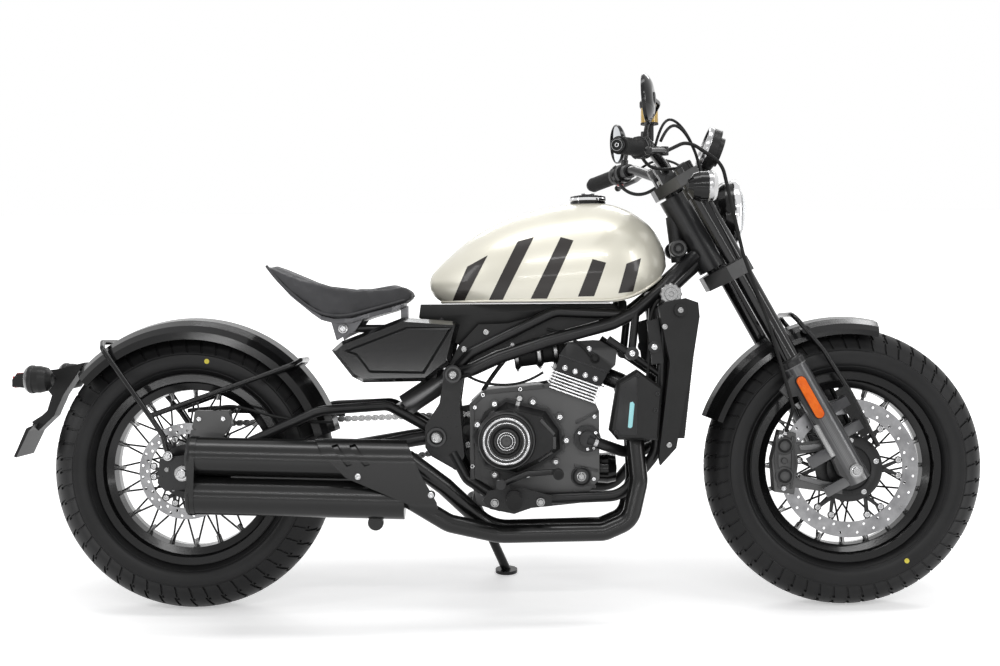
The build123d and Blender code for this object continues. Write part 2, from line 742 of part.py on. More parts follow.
# shock laid between the swing arm bridge and the frame
rear_shock = rod((484, 0, 462), (584, 0, 528), 26.0)
rear_shock += rod((470, 0, 456), (592, 0, 536), 9.0)
rear_shock -= drum(470, 456, 12.3, -72, 72)
rear_shock -= drum(592, 545, 12.3, -84, 84)

# Engine

crankcase = slab(
    [
        (636, 300),
        (636, 470),
        (668, 500),
        (800, 512),
        (836, 520),
        (905, 495),
        (925, 452),
        (925, 300),
        (880, 246),
        (700, 228),
        (650, 244),
    ],
    -CASE_HALF_WIDTH,
    CASE_HALF_WIDTH,
)
COVER_BOLTS = (
    (652, 424),
    (690, 470),
    (776, 474),
    (836, 440),
    (850, 388),
    (826, 340),
    (764, 311),
    (690, 312),
)
tilt = radians(BARREL_TILT)
BARREL = Plane(
    origin=(BARREL_BASE[0], 0, BARREL_BASE[1]),
    x_dir=(cos(tilt), 0, -sin(tilt)),
    z_dir=(sin(tilt), 0, cos(tilt)),
).location
case_top = BARREL * (Pos(-4, 0, 60) * Box(400, 400, 120))
crankcase -= case_top
crankcase += drum(*FRONT_SPROCKET, 14.0, 74, 107)
crankcase += drum(*FRONT_SPROCKET, FRONT_PITCH_RADIUS - CHAIN_HALF - SEAT_GAP, 101, 107)
crankcase -= frame
barrel = Pos(0, 0, 21.5) * Box(98, 2 * BARREL_HALF_WIDTH - 10, 43)
for fin in range(FIN_COUNT):
    barrel += Pos(0, 0, 3 + fin * FIN_PITCH) * Box(110, 2 * BARREL_HALF_WIDTH, FIN_THICKNESS)

head_outline = [
    (-54, 42),
    (54, 42),
    (58, 78),
    (68, 98),
    (60, 130),
    (16, 138),
    (-26, 120),
    (-50, 106),
    (-56, 84),
]
head_face = make_face(Polyline(*[(x, 0, z) for x, z in head_outline], close=True))
head_half = BARREL_HALF_WIDTH - 4
head_block = Pos(0, -head_half, 0) * extrude(head_face, amount=2 * head_half, dir=(0, 1, 0))
for x, z in ((-36, 54), (-12, 54), (12, 54), (36, 54), (0, 112)):
    head_block += Pos(x, 0, z) * Rot(X=90) * Cylinder(6, 2 * head_half + 6)
cylinders = BARREL * (barrel + head_block) - frame

clutch_dome = [
    (650, 396),
    (672, 442),
    (717, 474),
    (804, 453),
    (834, 409),
    (836, 369),
    (793, 340),
    (741, 316),
    (670, 336),
]
clutch_cover = slab(
    [
        (639, 398),
        (668, 452),
        (716, 483),
        (811, 461),
        (844, 412),
        (846, 363),
        (798, 331),
        (741, 306),
        (664, 328),
    ],
    -CASE_HALF_WIDTH,
    -108,
)
clutch_cover += bevelled(clutch_dome, -108, -152, 16)
clutch_cover += along_y([(0, 150), (66, 150), (62, 178), (54, 184), (0, 184)], 716, 392)
clutch_cover += along_y([(36, 184), (36, 192), (40, 197), (47, 197), (51, 192), (51, 184)], 716, 392)
clutch_cover += along_y([(0, 184), (30, 184), (28, 188), (0, 190)], 716, 392)
for x, z in COVER_BOLTS:
    clutch_cover += drum(x, z, 9.0, -CASE_HALF_WIDTH, -112)
generator_cover = slab(
    [
        (700, 330),
        (700, 440),
        (745, 478),
        (820, 470),
        (856, 420),
        (850, 350),
        (800, 312),
        (735, 308),
    ], 95, 138
)
generator_cover += along_y([(0, -138), (66, -138), (62, -160), (52, -166), (0, -166)], 778, 392)
generator_cover += slab([(590, 345), (600, 452), (696, 470), (696, 316), (640, 310)], 114, 138)
generator_cover += slab([(676, 330), (676, 460), (700, 470), (700, 322)], 95, 138)

engine_covers = clutch_cover + generator_cover

water_pump = drum(897, 391, 30.0, -95, -116) + drum(897, 391, 18.0, -116, -128)
water_pump += tube(
    [
        (897, -121, 391),
        (938, -116, 376),
        (975, -98, 362),
        (1010, -90, 358),
        (1050, -66, 372),
        (1092, -66, 420),
    ],
    [20, 30, 30, 20],
    12.5,
)
oil_filter = along_x([(925.3, 0), (925.3, 33), (948, 35), (966, 31), (970, 0)], -20, 318)

# Exhaust

header_right = tube(
    [
        (946, -52, 528),
        (982, -62, 514),
        (998, -122, 430),
        (1008, -150, 300),
        (988, -152, 214),
        (930, -154, 189),
        (700, -158, 186),
        (590, -184, 214),
        (500, -200, 271),
    ],
    [22, 60, 60, 45, 45, 100, 60],
    HEADER_RADIUS,
)
header_left = tube(
    [
        (946, 52, 528),
        (984, 44, 512),
        (1002, -30, 440),
        (1008, -52, 300),
        (985, -58, 214),
        (930, -66, 191),
        (680, -104, 190),
        (580, -160, 292),
        (500, -200, 357),
    ],
    [22, 50, 60, 45, 45, 100, 60],
    HEADER_RADIUS,
)
exhaust_headers = header_right + header_left
exhaust_headers -= cylinders
muffler_tilt = Vector(-470, 0, 14).normalized()
upper_rear = Vector(30, MUFFLER_Y, 365)
lower_rear = Vector(30, MUFFLER_Y, 281)


def canister_band(start, stop, radius):
    """Length of a rounded box that holds both canisters, from their rear ends forward."""
    middle = (upper_rear + lower_rear) * 0.5 - muffler_tilt * start
    across = Plane(origin=middle, x_dir=(0, 1, 0), z_dir=-muffler_tilt)
    height = (upper_rear - lower_rear).length
    form = Rectangle(2 * radius, height) + Pos(0, height / 2) * Circle(radius)
    form += Pos(0, -height / 2) * Circle(radius)
    return extrude(across * form, amount=stop - start)


mufflers = rod(tuple(upper_rear), tuple(upper_rear - muffler_tilt * 466), MUFFLER_RADIUS)
mufflers += rod(tuple(lower_rear), tuple(lower_rear - muffler_tilt * 466), MUFFLER_RADIUS)
mufflers += block(120, 470, MUFFLER_Y - 12, MUFFLER_Y + 12, 290, 350)
mufflers += canister_band(0.0, 16.0, MUFFLER_RADIUS + 2)
mufflers += drum(432, 219, 17.0, -192, -208)
mufflers += block(424, 440, -208, -192, 225, 245)
mufflers -= rod(tuple(upper_rear + muffler_tilt), tuple(upper_rear - muffler_tilt * 60), 24)
mufflers -= rod(tuple(lower_rear + muffler_tilt), tuple(lower_rear - muffler_tilt * 60), 24)
mufflers += block(300, 330, -160, -118, 356, 372)
mufflers -= exhaust_headers
mufflers -= swingarm
# sheet guard bent round both canisters, cut to a swept outline with two slanted slots
SHIELD_GAP = 1.5
SHIELD_WALL = 3.0
shield_inner = MUFFLER_RADIUS + SHIELD_GAP
shield_wrap = canister_band(220, 560, shield_inner + SHIELD_WALL) - canister_band(219, 561, shield_inner)
shield_outline = [
    (280, 440),
    (468, 440),
    (494, 407),
    (511, 375),
    (532, 326),
    (566, 266),
    (569, 246),
    (554, 240),
    (522, 255),
    (372, 320),
    (323, 369),
]
muffler_shield = shield_wrap & slab(shield_outline, MUFFLER_Y - 60, MUFFLER_Y)
for shift in (0, 38):
    slot = [(340 + shift, 388), (352 + shift, 392), (386 + shift, 348), (374 + shift, 344)]
    muffler_shield -= slab(slot, MUFFLER_Y - 60, MUFFLER_Y - 20)
muffler_shield += drum(398, 323, 9.0, MUFFLER_Y - 12, MUFFLER_Y - 48)
muffler_shield += drum(554, 283, 9.0, MUFFLER_Y - shield_inner + 4, MUFFLER_Y - 48)
muffler_shield -= exhaust_headers
muffler_shield -= mufflers

# Cooling

radiator = slab([(1086, 392), (1112, 392), (1143, 662), (1117, 662)], -127.5, 127.5)
radiator -= water_pump
cover_outline = [
    (1054, 684),
    (1069, 695),
    (1112, 703),
    (1140, 693),
    (1143, 662),
    (1127, 562),
    (1108, 469),
    (1090, 373),
    (1055, 335),
    (1052, 358),
    (1077, 562),
    (1058, 655),
]
radiator_covers = pair(slab(cover_outline, -128, -158))
radiator_covers += drum(1100, 676, 14.0, -158, -166)
radiator_covers -= radiator
radiator_covers -= frame
for z in (430, 600):
    x = 1086 + 31 * (z - 392) / 270
    radiator += pair(rod((x + 4, -104, z), (x - 16, -104, z), 7.0))
radiator -= frame
radiator -= radiator_covers

canister_outline = [(959, 520), (1003, 547), (1058, 507), (1049, 392), (959, 393), (941, 414)]
canister_box = slab(canister_outline, -150, -172) + bevelled(canister_outline, -172, -184, 25)
canister_box += rod((1060, -112, 470), (1040, -152, 470), 8.0)
canister_box -= frame
canister_box -= radiator_covers
canister_box -= exhaust_headers

# Tank, seat and covers

# half outline of the tank: distance along a line that climbs to the front, and radius
TANK_REAR = (537.0, 737.0)
TANK_FRONT = (1083.0, 790.0)
TANK_FLOOR = 697.0
TANK_CREST = (370.0, 155.0)
TANK_BACK = [(230.0, 142.0), (80.0, 79.0), (20.0, 32.0), (6.0, 8.0)]
TANK_NOSE = [(497.0, 112.0), (552.0, 8.0)]
CAP_X = 908.0
CAP_RADIUS = 41.0


def flowing(start, heading, stops):
    """Arcs through the stops, each carrying on smoothly from the one before."""
    arcs = []
    for stop in stops:
        arc = TangentArc(start, stop, tangent=heading)
        arcs.append(arc)
        start = stop
        heading = arc % 1
    return arcs


tank_axis = Vector(TANK_FRONT[0] - TANK_REAR[0], 0, TANK_FRONT[1] - TANK_REAR[1])
tank_line = Plane(origin=(TANK_REAR[0], 0, TANK_REAR[1]), x_dir=tank_axis, z_dir=(0, -1, 0))
tank_edges = flowing(TANK_CREST, (-1, 0), TANK_BACK) + flowing(TANK_CREST, (1, 0), TANK_NOSE)
tank_ends = (TANK_BACK[-1][0], 0), (TANK_NOSE[-1][0], 0)
tank_edges += [Line(TANK_BACK[-1], tank_ends[0]), Line(TANK_NOSE[-1], tank_ends[1]), Line(*tank_ends)]
tank_face = make_face(tank_edges)
tank_form = tank_line.location * revolve(tank_face, axis=Axis.X)
floor_face = make_face(
    [
        Polyline((480, 0, 540), (480, 0, TANK_FLOOR), (955, 0, TANK_FLOOR)),
        ThreePointArc((955, 0, TANK_FLOOR), (1040, 0, 727), (1090, 0, 790)),
        Polyline((1090, 0, 790), (1150, 0, 790), (1150, 0, 540), (480, 0, 540)),
    ]
)
tank_floor = Pos(0, -300, 0) * extrude(floor_face, amount=600, dir=(0, 1, 0))
fuel_tank = tank_form - tank_floor
fuel_tank -= Pos(CAP_X, 0, 925) * Cylinder(CAP_RADIUS, 30)
filler_cap = Pos(CAP_X, 0, 928) * Cylinder(CAP_RADIUS - SEAT_GAP, 26)
filler_cap += Pos(CAP_X, 0, 941) * Cone(CAP_RADIUS - 3, CAP_RADIUS - 8, 4)
filler_cap += Pos(CAP_X, 0, 945) * Cylinder(15, 8)
filler_cap -= fuel_tank
filler_cap -= Pos(CAP_X, 0, 900) * Cylinder(60, 20)
frame += pair(rod((980, -70, TANK_FLOOR - 1), (980, -92, 664), 10.0))
frame -= fuel_tank

seat_side = slab(
    [
        (171, 782),
        (185, 790),
        (217, 775),
        (270, 752),
        (323, 735),
        (376, 729),
        (416, 730),
        (456, 738),
        (487, 744),
        (509, 730),
        (513, 717),
        (489, 699),
        (463, 690),
        (412, 676),
        (373, 663),
        (335, 662),
        (309, 669),
        (283, 683),
        (257, 704),
        (232, 724),
        (206, 750),
    ],
    -180,
    180,
)
SEAT_PLAN = [
    (513, 0),
    (505, 52),
    (470, 78),
    (420, 100),
    (370, 142),
    (310, 166),
    (240, 158),
    (190, 122),
    (171, 70),
]
plan_points = SEAT_PLAN + [(x, -y) for x, y in reversed(SEAT_PLAN[1:])]


def plan_solid(points, inset, low, high):
    """Outline seen from above, drawn in by an inset."""
    face = make_face(Polyline(*[(x, y, low) for x, y in points], close=True))
    if inset:
        face = offset(face, amount=-inset)
    return extrude(face, amount=high - low, dir=(0, 0, 1))


seat = seat_side & plan_solid(plan_points, 0, 600, 850)
pan_top = [
    (206, 750),
    (232, 724),
    (257, 704),
    (283, 683),
    (309, 669),
    (335, 662),
    (373, 663),
    (412, 676),
    (463, 690),
    (489, 699),
]
pan_low = [(x + (6 if x < 300 else 0), z - 10) for x, z in reversed(pan_top)]
pan_side = slab(pan_top + pan_low, -180, 180)
seat_pan = pan_side & plan_solid(plan_points, 22, 600, 850)
for side in (-1, 1):
    seat_pan += slab([(335, 613), (322, 658), (400, 668), (376, 634), (350, 622)], side * 72, side * 78)
    seat_pan += drum(350, 640, 6.0, side * 64.3, side * 84)
seat_pan += slab([(476, 650), (476, 686), (492, 692), (492, 650)], -20, 20)
seat_pan += block(470, 498, -52, 52, 650, 656)
seat_pan -= seat
seat_pan -= frame

airbox = block(392, 560, -90, 90, 528, 626)
airbox -= frame
airbox -= swingarm
airbox -= rear_shock
cover_points = [
    (329, 592),
    (352, 612),
    (488, 664),
    (605, 655),
    (614, 647),
    (592, 562),
    (541, 522),
    (399, 520),
    (375, 533),
]
panel_points = [(355, 591), (498, 645), (602, 643), (537, 538), (415, 541), (386, 579)]
side_cover = bevelled(cover_points, -128, -156, 18) + bevelled(panel_points, -154, -166, 30)
for x, z in ((420, 560), (530, 560), (500, 618)):
    side_cover += drum(x, z, 10.0, -90, -128)
side_covers = pair(side_cover) - frame - airbox - seat_pan

under_tank_panels = pair(slab([(694, 588), (833, 684), (976, 678), (950, 662), (808, 624)], -80, -84))
under_tank_panels += pair(
    slab(
        [(590, 560), (610, 600), (655, 648), (722, 650), (820, 676), (694, 588), (625, 556)],
        -80,
        -84,
    ),
)
under_tank_panels -= frame
under_tank_panels -= side_covers

# Tail

REAR_FENDER_RADIUS = 345.0
REAR_SIGNAL_Y = 124.0
rear_section = [
    (REAR_FENDER_RADIUS, 0),
    (REAR_FENDER_RADIUS - 6, 44),
    (REAR_FENDER_RADIUS - 18, 72),
    (REAR_FENDER_RADIUS - 32, 88),
    (REAR_FENDER_RADIUS - 49, 92),
    (REAR_FENDER_RADIUS - 49, 88.5),
    (REAR_FENDER_RADIUS - 34, 85.4),
    (REAR_FENDER_RADIUS - 20, 70),
    (REAR_FENDER_RADIUS - 8.4, 43),
    (REAR_FENDER_RADIUS - 2.5, 0),
]
rear_section += [(r, -y) for r, y in reversed(rear_section[1:-1])]
rear_fender = fender(rear_section, 0, REAR_Z, 14.7, 139.7)

def hoop(side_points, bends, radius):
    """Bent bar over the middle, drawn from its right half."""
    points = side_points + [(x, -y, z) for x, y, z in reversed(side_points)]
    return tube(points, bends + bends[::-1], radius)


fender_struts = hoop(
    [(-31, -143, 361), (-42, -143, 405), (-66, -143, 441), (-188, -99, 598), (-198, -60, 612)],
    [30, 30, 18, 18],
    6.0,
)
fender_struts += hoop([(-72, -141, 449), (240, -99, 560), (250, -60, 569)], [18, 18], 6.0)
fender_struts += pair(drum(-31, 361, 10.0, -136.2, -150))
fender_struts -= rear_fender
fender_struts -= swingarm

tail_bracket = slab(
    [
        (-250, 566),
        (-313, 551),
        (-372, 545),
        (-372, 512),
        (-338, 508),
        (-325, 491),
        (-336, 456),
        (-371, 424),
        (-356, 410),
        (-318, 446),
        (-300, 490),
        (-268, 538),
    ],
    -24,
    24,
)
tail_bracket += slab([(-352, 427), (-372, 418), (-400, 354), (-395, 352), (-366, 412)], -62, 62)
tail_bracket += drum(-322, 531, 7.0, -100, 100)
tail_bracket -= rear_fender
tail_bracket -= Pos(0, 0, REAR_Z) * Rot(X=90) * Cylinder(REAR_FENDER_RADIUS - 2.5, 60)
tail_lamp = slab([(-372.3, 545), (-400, 540), (-410, 528), (-410, 512), (-372.3, 508)], -42, 42)

rear_signal = along_x(
    [(-292, 0), (-292, 14), (-302, 26), (-318, 30), (-340, 30), (-350, 24), (-354, 0)],
    -REAR_SIGNAL_Y,
    531,
)
tail_lights = tail_lamp + pair(rear_signal)
tail_lights -= tail_bracket

# Controls at the feet

PEG = (732.0, 270.0)
PEG_PLATE_Y = (-174.0, -182.0)
peg_plate = slab(
    [
        (664, 262),
        (676, 284),
        (692, 286),
        (694, 306),
        (714, 306),
        (724, 288),
        (748, 290),
        (814, 272),
        (814, 250),
        (770, 246),
        (732, 233),
        (680, 244),
    ],
    *PEG_PLATE_Y,
)
for x, z in ((690, 258), (790, 259)):
    peg_plate += drum(x, z, 9.0, -TUBE_Y - CRADLE_TUBE - 0.2, -188)
peg = drum(PEG[0], PEG[1], 8.0, -178, -206) + drum(PEG[0], PEG[1], 15.0, -204, -290)
foot_pegs = pair(peg_plate + peg)
pedal = tube([(704, -197, 299), (760, -197, 322), (826, -200, 327), (826, -240, 327)], [30, 14], 6.5)
pedal += drum(704, 299, 11.0, -182.2, -204)
pedal += drum(826, 327, 10.0, -238, -272)
foot_controls = pair(pedal)

# Chain and its guard

def chain_band(margin):
    """Solid loop around both sprockets, its edge off the pitch line by a margin."""
    run = Vector(FRONT_SPROCKET[0], 0, FRONT_SPROCKET[1] - REAR_Z)
    climb = run.Z / run.X
    taper = (REAR_PITCH_RADIUS - FRONT_PITCH_RADIUS) / run.length
    rear = REAR_PITCH_RADIUS + margin
    front = FRONT_PITCH_RADIUS + margin
    upper = pi / 2 + climb - taper
    lower = -pi / 2 + climb + taper
    corners = [
        (rear * cos(upper), REAR_Z + rear * sin(upper)),
        (FRONT_SPROCKET[0] + front * cos(upper), FRONT_SPROCKET[1] + front * sin(upper)),
        (FRONT_SPROCKET[0] + front * cos(lower), FRONT_SPROCKET[1] + front * sin(lower)),
        (rear * cos(lower), REAR_Z + rear * sin(lower)),
    ]
    core = (CHAIN_Y[0] + 3, CHAIN_Y[1] - 3)
    loop = slab(corners, *core)
    loop += drum(0, REAR_Z, rear, *core)
    return loop + drum(*FRONT_SPROCKET, front, *core)


def chain_line():
    """Closed pitch line in the middle of the chain."""
    band = chain_band(0)
    middle_y = (CHAIN_Y[0] + CHAIN_Y[1]) / 2
    cut = band & Plane(origin=(0, middle_y, 0), z_dir=(0, 1, 0)).location * Rectangle(4000, 4000)
    return cut.faces()[0].outer_wire()


chain_core = chain_band(CHAIN_HALF - 3) - chain_band(3 - CHAIN_HALF)
chain_path = chain_line()
links = []
for count in range(CHAIN_LINKS):
    reach = (count + 0.5) / CHAIN_LINKS
    place = chain_path @ reach
    heading = chain_path % reach
    half = 7.6
    width = CHAIN_Y[1] - CHAIN_Y[0] if count % 2 == 0 else CHAIN_Y[1] - CHAIN_Y[0] - 4
    across = Plane(origin=place, x_dir=heading, z_dir=(0, 1, 0))
    plate = Polyline(
        (-half, -4),
        (-4, -CHAIN_HALF),
        (4, -CHAIN_HALF),
        (half, -4),
        (half, 4),
        (4, CHAIN_HALF),
        (-4, CHAIN_HALF),
        (-half, 4),
        close=True,
    )
    link = Pos(0, 0, -width / 2) * extrude(make_face(plate), amount=width)
    links.append(across.location * link)
chain = chain_core.fuse(*links)
chain_guard = slab([(-40, 452), (20, 458), (330, 452), (330, 444), (20, 449), (-40, 443)], 94, 136)
chain_guard += slab([(20, 458), (330, 452), (330, 430), (120, 438), (20, 440)], 133, 136)
chain_guard += slab([(250, 432), (250, 446), (290, 446), (290, 440), (262, 424)], 128, 133)
chain_guard -= swingarm
chain_guard -= chain
chain_guard -= fender_struts

# Rear brake

rear_caliper = slab([(14, 418), (20, 458), (96, 458), (101, 424), (84, 404), (40, 411)], -74, -106)
rear_caliper -= ring_part(40, 114, -97, -82.5, 0, REAR_Z)
rear_caliper += slab([(-16, REAR_Z), (12, 416), (92, 412), (22, REAR_Z - 6)], -100, -106)
rear_caliper += drum(0, REAR_Z, 20.0, -100, -106)
rear_caliper -= drum(0, REAR_Z, AXLE_RADIUS, -90, -110)
rear_caliper -= rear_fender

# Hand each piece over, parked

pieces = {
    "frame": frame,
    "swingarm": swingarm,
    "rear_axle": rear_axle,
    "rear_shock": rear_shock,
    "crankcase": crankcase,
    "cylinders": cylinders,
    "engine_covers": engine_covers,
    "water_pump": water_pump,
    "oil_filter": oil_filter,
    "exhaust_headers": exhaust_headers,
    "mufflers": mufflers,
    "muffler_shield": muffler_shield,
    "radiator": radiator,
    "radiator_covers": radiator_covers,
    "canister_box": canister_box,
    "fuel_tank": fuel_tank,
    "filler_cap": filler_cap,
    "seat": seat,
    "seat_pan": seat_pan,
    "airbox": airbox,
    "side_covers": side_covers,
    "under_tank_panels": under_tank_panels,
    "rear_fender": rear_fender,
    "fender_struts": fender_struts,
    "tail_bracket": tail_bracket,
    "tail_lights": tail_lights,
    "foot_pegs": foot_pegs,
    "foot_controls": foot_controls,
    "chain": chain,
    "chain_guard": chain_guard,
    "rear_caliper": rear_caliper,
    "side_stand": side_stand,
    "triple_clamps": triple_clamps,
    "fork_tubes": fork_tubes,
    "fork_sliders": fork_sliders,
    "front_axle": front_axle,
    "handlebar": handlebar,
    "grips": grips,
    "bar_controls": bar_controls,
    "brake_reservoir": brake_reservoir,
    "mirrors": mirrors,
    "headlight": headlight,
    "headlight_lens": headlight_lens,
    "gauge": gauge,
    "front_signals": front_signals,
    "front_fender": front_fender,
    "fender_brace": fender_brace,
    "front_caliper": front_caliper,
    "front_hose": front_hose,
    "front_tyre": front_tyre,
    "front_wheel": front_wheel,
    "front_disc": front_disc,
    "rear_tyre": rear_tyre,
    "rear_wheel": rear_wheel,
    "rear_disc": rear_disc,
    "rear_sprocket": rear_sprocket,
}
os.makedirs("parts", exist_ok=True)
for name, shape in pieces.items():
    export_step(PARKED * shape, "parts/" + name + ".step")
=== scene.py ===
import math

import bmesh
import bpy
from mathutils import Matrix, Vector
from mathutils.bvhtree import BVHTree


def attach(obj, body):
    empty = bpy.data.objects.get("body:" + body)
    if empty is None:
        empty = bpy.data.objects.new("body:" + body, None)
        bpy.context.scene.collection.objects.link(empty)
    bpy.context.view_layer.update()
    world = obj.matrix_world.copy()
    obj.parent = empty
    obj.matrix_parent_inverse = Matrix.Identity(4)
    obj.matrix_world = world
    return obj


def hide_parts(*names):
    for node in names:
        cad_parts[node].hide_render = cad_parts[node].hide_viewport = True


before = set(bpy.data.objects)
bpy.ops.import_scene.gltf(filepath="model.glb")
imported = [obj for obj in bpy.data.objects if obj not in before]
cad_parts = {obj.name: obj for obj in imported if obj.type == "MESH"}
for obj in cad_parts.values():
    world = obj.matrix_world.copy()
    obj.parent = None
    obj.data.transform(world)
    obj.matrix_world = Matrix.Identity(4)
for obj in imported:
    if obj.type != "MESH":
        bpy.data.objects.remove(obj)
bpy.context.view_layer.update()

RIGHT = (0, -1, 0)
LEFT = (0, 1, 0)

# the part's own upright drawing, leaned and centred as in the CAD source
LEAN = math.radians(9.0)
CENTRE_X = 698.9
CENTRE_Y = 167.0
RAKE = math.radians(29.0)
FORK_OFFSET = 38.0
WHEELBASE = 1490.0
FRONT_Z = 318.0 - 60.0 + 60.0 / math.cos(LEAN)
REAR_Z = 321.0 - 70.0 + 70.0 / math.cos(LEAN)

UPRIGHT = (
    Matrix.Translation((-CENTRE_X / 1000, -CENTRE_Y / 1000, 0))
    @ Matrix.Rotation(-LEAN, 4, "X")
    @ Matrix.Scale(0.001, 4)
)


def at(x, y, z):
    """A point of the upright drawing, in the frame's metres."""
    return UPRIGHT @ Vector((x, y, z))


def way(x, y, z):
    """A direction of the upright drawing, in the frame."""
    return (Matrix.Rotation(-LEAN, 3, "X") @ Vector((x, y, z))).normalized()


def fork_point(ahead, y, up):
    """A point given by the steering line, in the upright drawing."""
    return (
        WHEELBASE + (ahead - FORK_OFFSET) * math.cos(RAKE) - up * math.sin(RAKE),
        y,
        FRONT_Z + (ahead - FORK_OFFSET) * math.sin(RAKE) + up * math.cos(RAKE),
    )


# materials

def material(name):
    """New node material: its tree, its shader and a texture coordinate socket."""
    made = bpy.data.materials.new(name)
    made.use_nodes = True
    tree = made.node_tree
    shader = tree.nodes["Principled BSDF"]
    coords = tree.nodes.new("ShaderNodeTexCoord")
    return made, tree, shader, coords.outputs["Object"]


def noise(tree, coords, scale, detail=3.0, roughness=0.5, stretch=None):
    """Noise texture factor in object space."""
    node = tree.nodes.new("ShaderNodeTexNoise")
    node.inputs["Scale"].default_value = scale
    node.inputs["Detail"].default_value = detail
    node.inputs["Roughness"].default_value = roughness
    if stretch:
        mapping = tree.nodes.new("ShaderNodeMapping")
        mapping.inputs["Scale"].default_value = stretch
        tree.links.new(coords, mapping.inputs["Vector"])
        coords = mapping.outputs["Vector"]
    tree.links.new(coords, node.inputs["Vector"])
    return node.outputs["Fac"]


def spread(tree, factor, low, high, start=0.0, stop=1.0):
    """Map a factor from one range to another."""
    node = tree.nodes.new("ShaderNodeMapRange")
    node.inputs["From Min"].default_value = start
    node.inputs["From Max"].default_value = stop
    node.inputs["To Min"].default_value = low
    node.inputs["To Max"].default_value = high
    tree.links.new(factor, node.inputs["Value"])
    return node.outputs["Result"]


def mix(tree, factor, first, second):
    """Mix two colours, each a tuple or a socket."""
    node = tree.nodes.new("ShaderNodeMix")
    node.data_type = "RGBA"
    tree.links.new(factor, node.inputs["Factor"])
    for socket, value in ((node.inputs[6], first), (node.inputs[7], second)):
        if isinstance(value, tuple):
            socket.default_value = value + (1.0,)
        else:
            tree.links.new(value, socket)
    return node.outputs[2]


def bump(tree, shader, height, strength, distance):
    """Bump from a height factor."""
    node = tree.nodes.new("ShaderNodeBump")
    node.inputs["Strength"].default_value = strength
    node.inputs["Distance"].default_value = distance
    tree.links.new(height, node.inputs["Height"])
    tree.links.new(node.outputs["Normal"], shader.inputs["Normal"])
    return node


def edge_wear(tree, low=0.5, high=0.62):
    """Factor that rises on outer edges."""
    geometry = tree.nodes.new("ShaderNodeNewGeometry")
    return spread(tree, geometry.outputs["Pointiness"], 0.0, 1.0, low, high)


def three(value):
    """Colour of three channels, from a tuple or from one grey value."""
    return value if isinstance(value, tuple) else (value, value, value)


def surface(
    name, dark, light, rough, metal=0.0, grain=60.0, bumps=0.0, size=0.0004, coat=0.0, wear=None,
    shine=0.5, edge=0.0,
):
    """Coloured surface with a fine grain, soft colour change and worn edges."""
    made, tree, shader, coords = material(name)
    tone = noise(tree, coords, grain * 0.15, 4.0, 0.6)
    colour = mix(tree, spread(tree, tone, 0.0, 1.0, 0.3, 0.7), three(dark), three(light))
    if wear:
        colour = mix(tree, edge_wear(tree), colour, three(wear))
    tree.links.new(colour, shader.inputs["Base Color"])
    fine = noise(tree, coords, grain * 4.0, 3.0, 0.6)
    tree.links.new(spread(tree, fine, rough[0], rough[1]), shader.inputs["Roughness"])
    shader.inputs["Metallic"].default_value = metal
    shader.inputs["Specular IOR Level"].default_value = shine
    shader.inputs["Coat Weight"].default_value = coat
    shader.inputs["Coat Roughness"].default_value = 0.08
    rounded = None
    if edge:
        rounding = tree.nodes.new("ShaderNodeBevel")
        rounding.samples = 4
        rounding.inputs["Radius"].default_value = edge
        rounded = rounding.outputs["Normal"]
        tree.links.new(rounded, shader.inputs["Normal"])
    if bumps:
        grain_bump = bump(tree, shader, fine, bumps, size)
        if rounded:
            tree.links.new(rounded, grain_bump.inputs["Normal"])
    return made


PAINT_BLACK = surface(
    "paint_black", 0.004, (0.007, 0.007, 0.0075), (0.16, 0.24), 0.0, 40, 0.05, 0.0002, 0.15, shine=0.2,
    edge=0.0008,
)
GLOSS_BLACK = surface(
    "gloss_black", 0.003, (0.005, 0.005, 0.0055), (0.08, 0.14), 0.0, 30, 0.03, 0.0002, 0.3, shine=0.25,
    edge=0.0015,
)
SATIN_BLACK = surface(
    "satin_black", 0.006, (0.01, 0.01, 0.0105), (0.24, 0.34), 0.0, 60, 0.12, 0.0002, 0.0,
    (0.03, 0.03, 0.031), shine=0.25, edge=0.001,
)
CAST_BLACK = surface(
    "cast_black", 0.008, (0.016, 0.016, 0.0165), (0.3, 0.42), 0.25, 90, 0.5, 0.0005, 0.0, 0.1, shine=0.25,
    edge=0.0015,
)
CAST_GREY = surface(
    "cast_grey", (0.035, 0.035, 0.037), (0.06, 0.06, 0.063), (0.26, 0.36), 0.6, 80, 0.22, 0.0003, 0.0,
    0.2, shine=0.3, edge=0.0012,
)
STEEL = surface("steel", 0.2, 0.32, (0.22, 0.34), 1.0, 60, 0.08, 0.0002)
BRIGHT = surface("bright_metal", 0.34, (0.48, 0.48, 0.49), (0.16, 0.26), 1.0, 50, 0.04, 0.0002)
CHROME = surface("chrome", (0.66, 0.66, 0.67), (0.74, 0.74, 0.75), (0.05, 0.09), 1.0, 40)
PLASTIC = surface(
    "plastic_black", 0.008, 0.012, (0.34, 0.44), 0.0, 140, 0.3, 0.0003, shine=0.22, edge=0.0015,
)
RUBBER = surface("rubber", 0.008, 0.012, (0.5, 0.62), 0.0, 120, 0.3, 0.0004, shine=0.18)
TYRE_BLACK = surface(
    "tyre_black", (0.007, 0.007, 0.0073), (0.012, 0.012, 0.0124), (0.36, 0.48), 0.0, 70, 0.25, 0.0004,
    shine=0.22,
)
PAN_GREY = surface(
    "pan_grey", (0.09, 0.09, 0.095), (0.14, 0.14, 0.145), (0.28, 0.4), 0.8, 60, 0.1, 0.0002, edge=0.001,
)
SHEEN_PIPE = surface(
    "exhaust_black", 0.005, 0.008, (0.2, 0.27), 0.0, 60, 0.0, 0.0002, shine=0.35, edge=0.001,
)
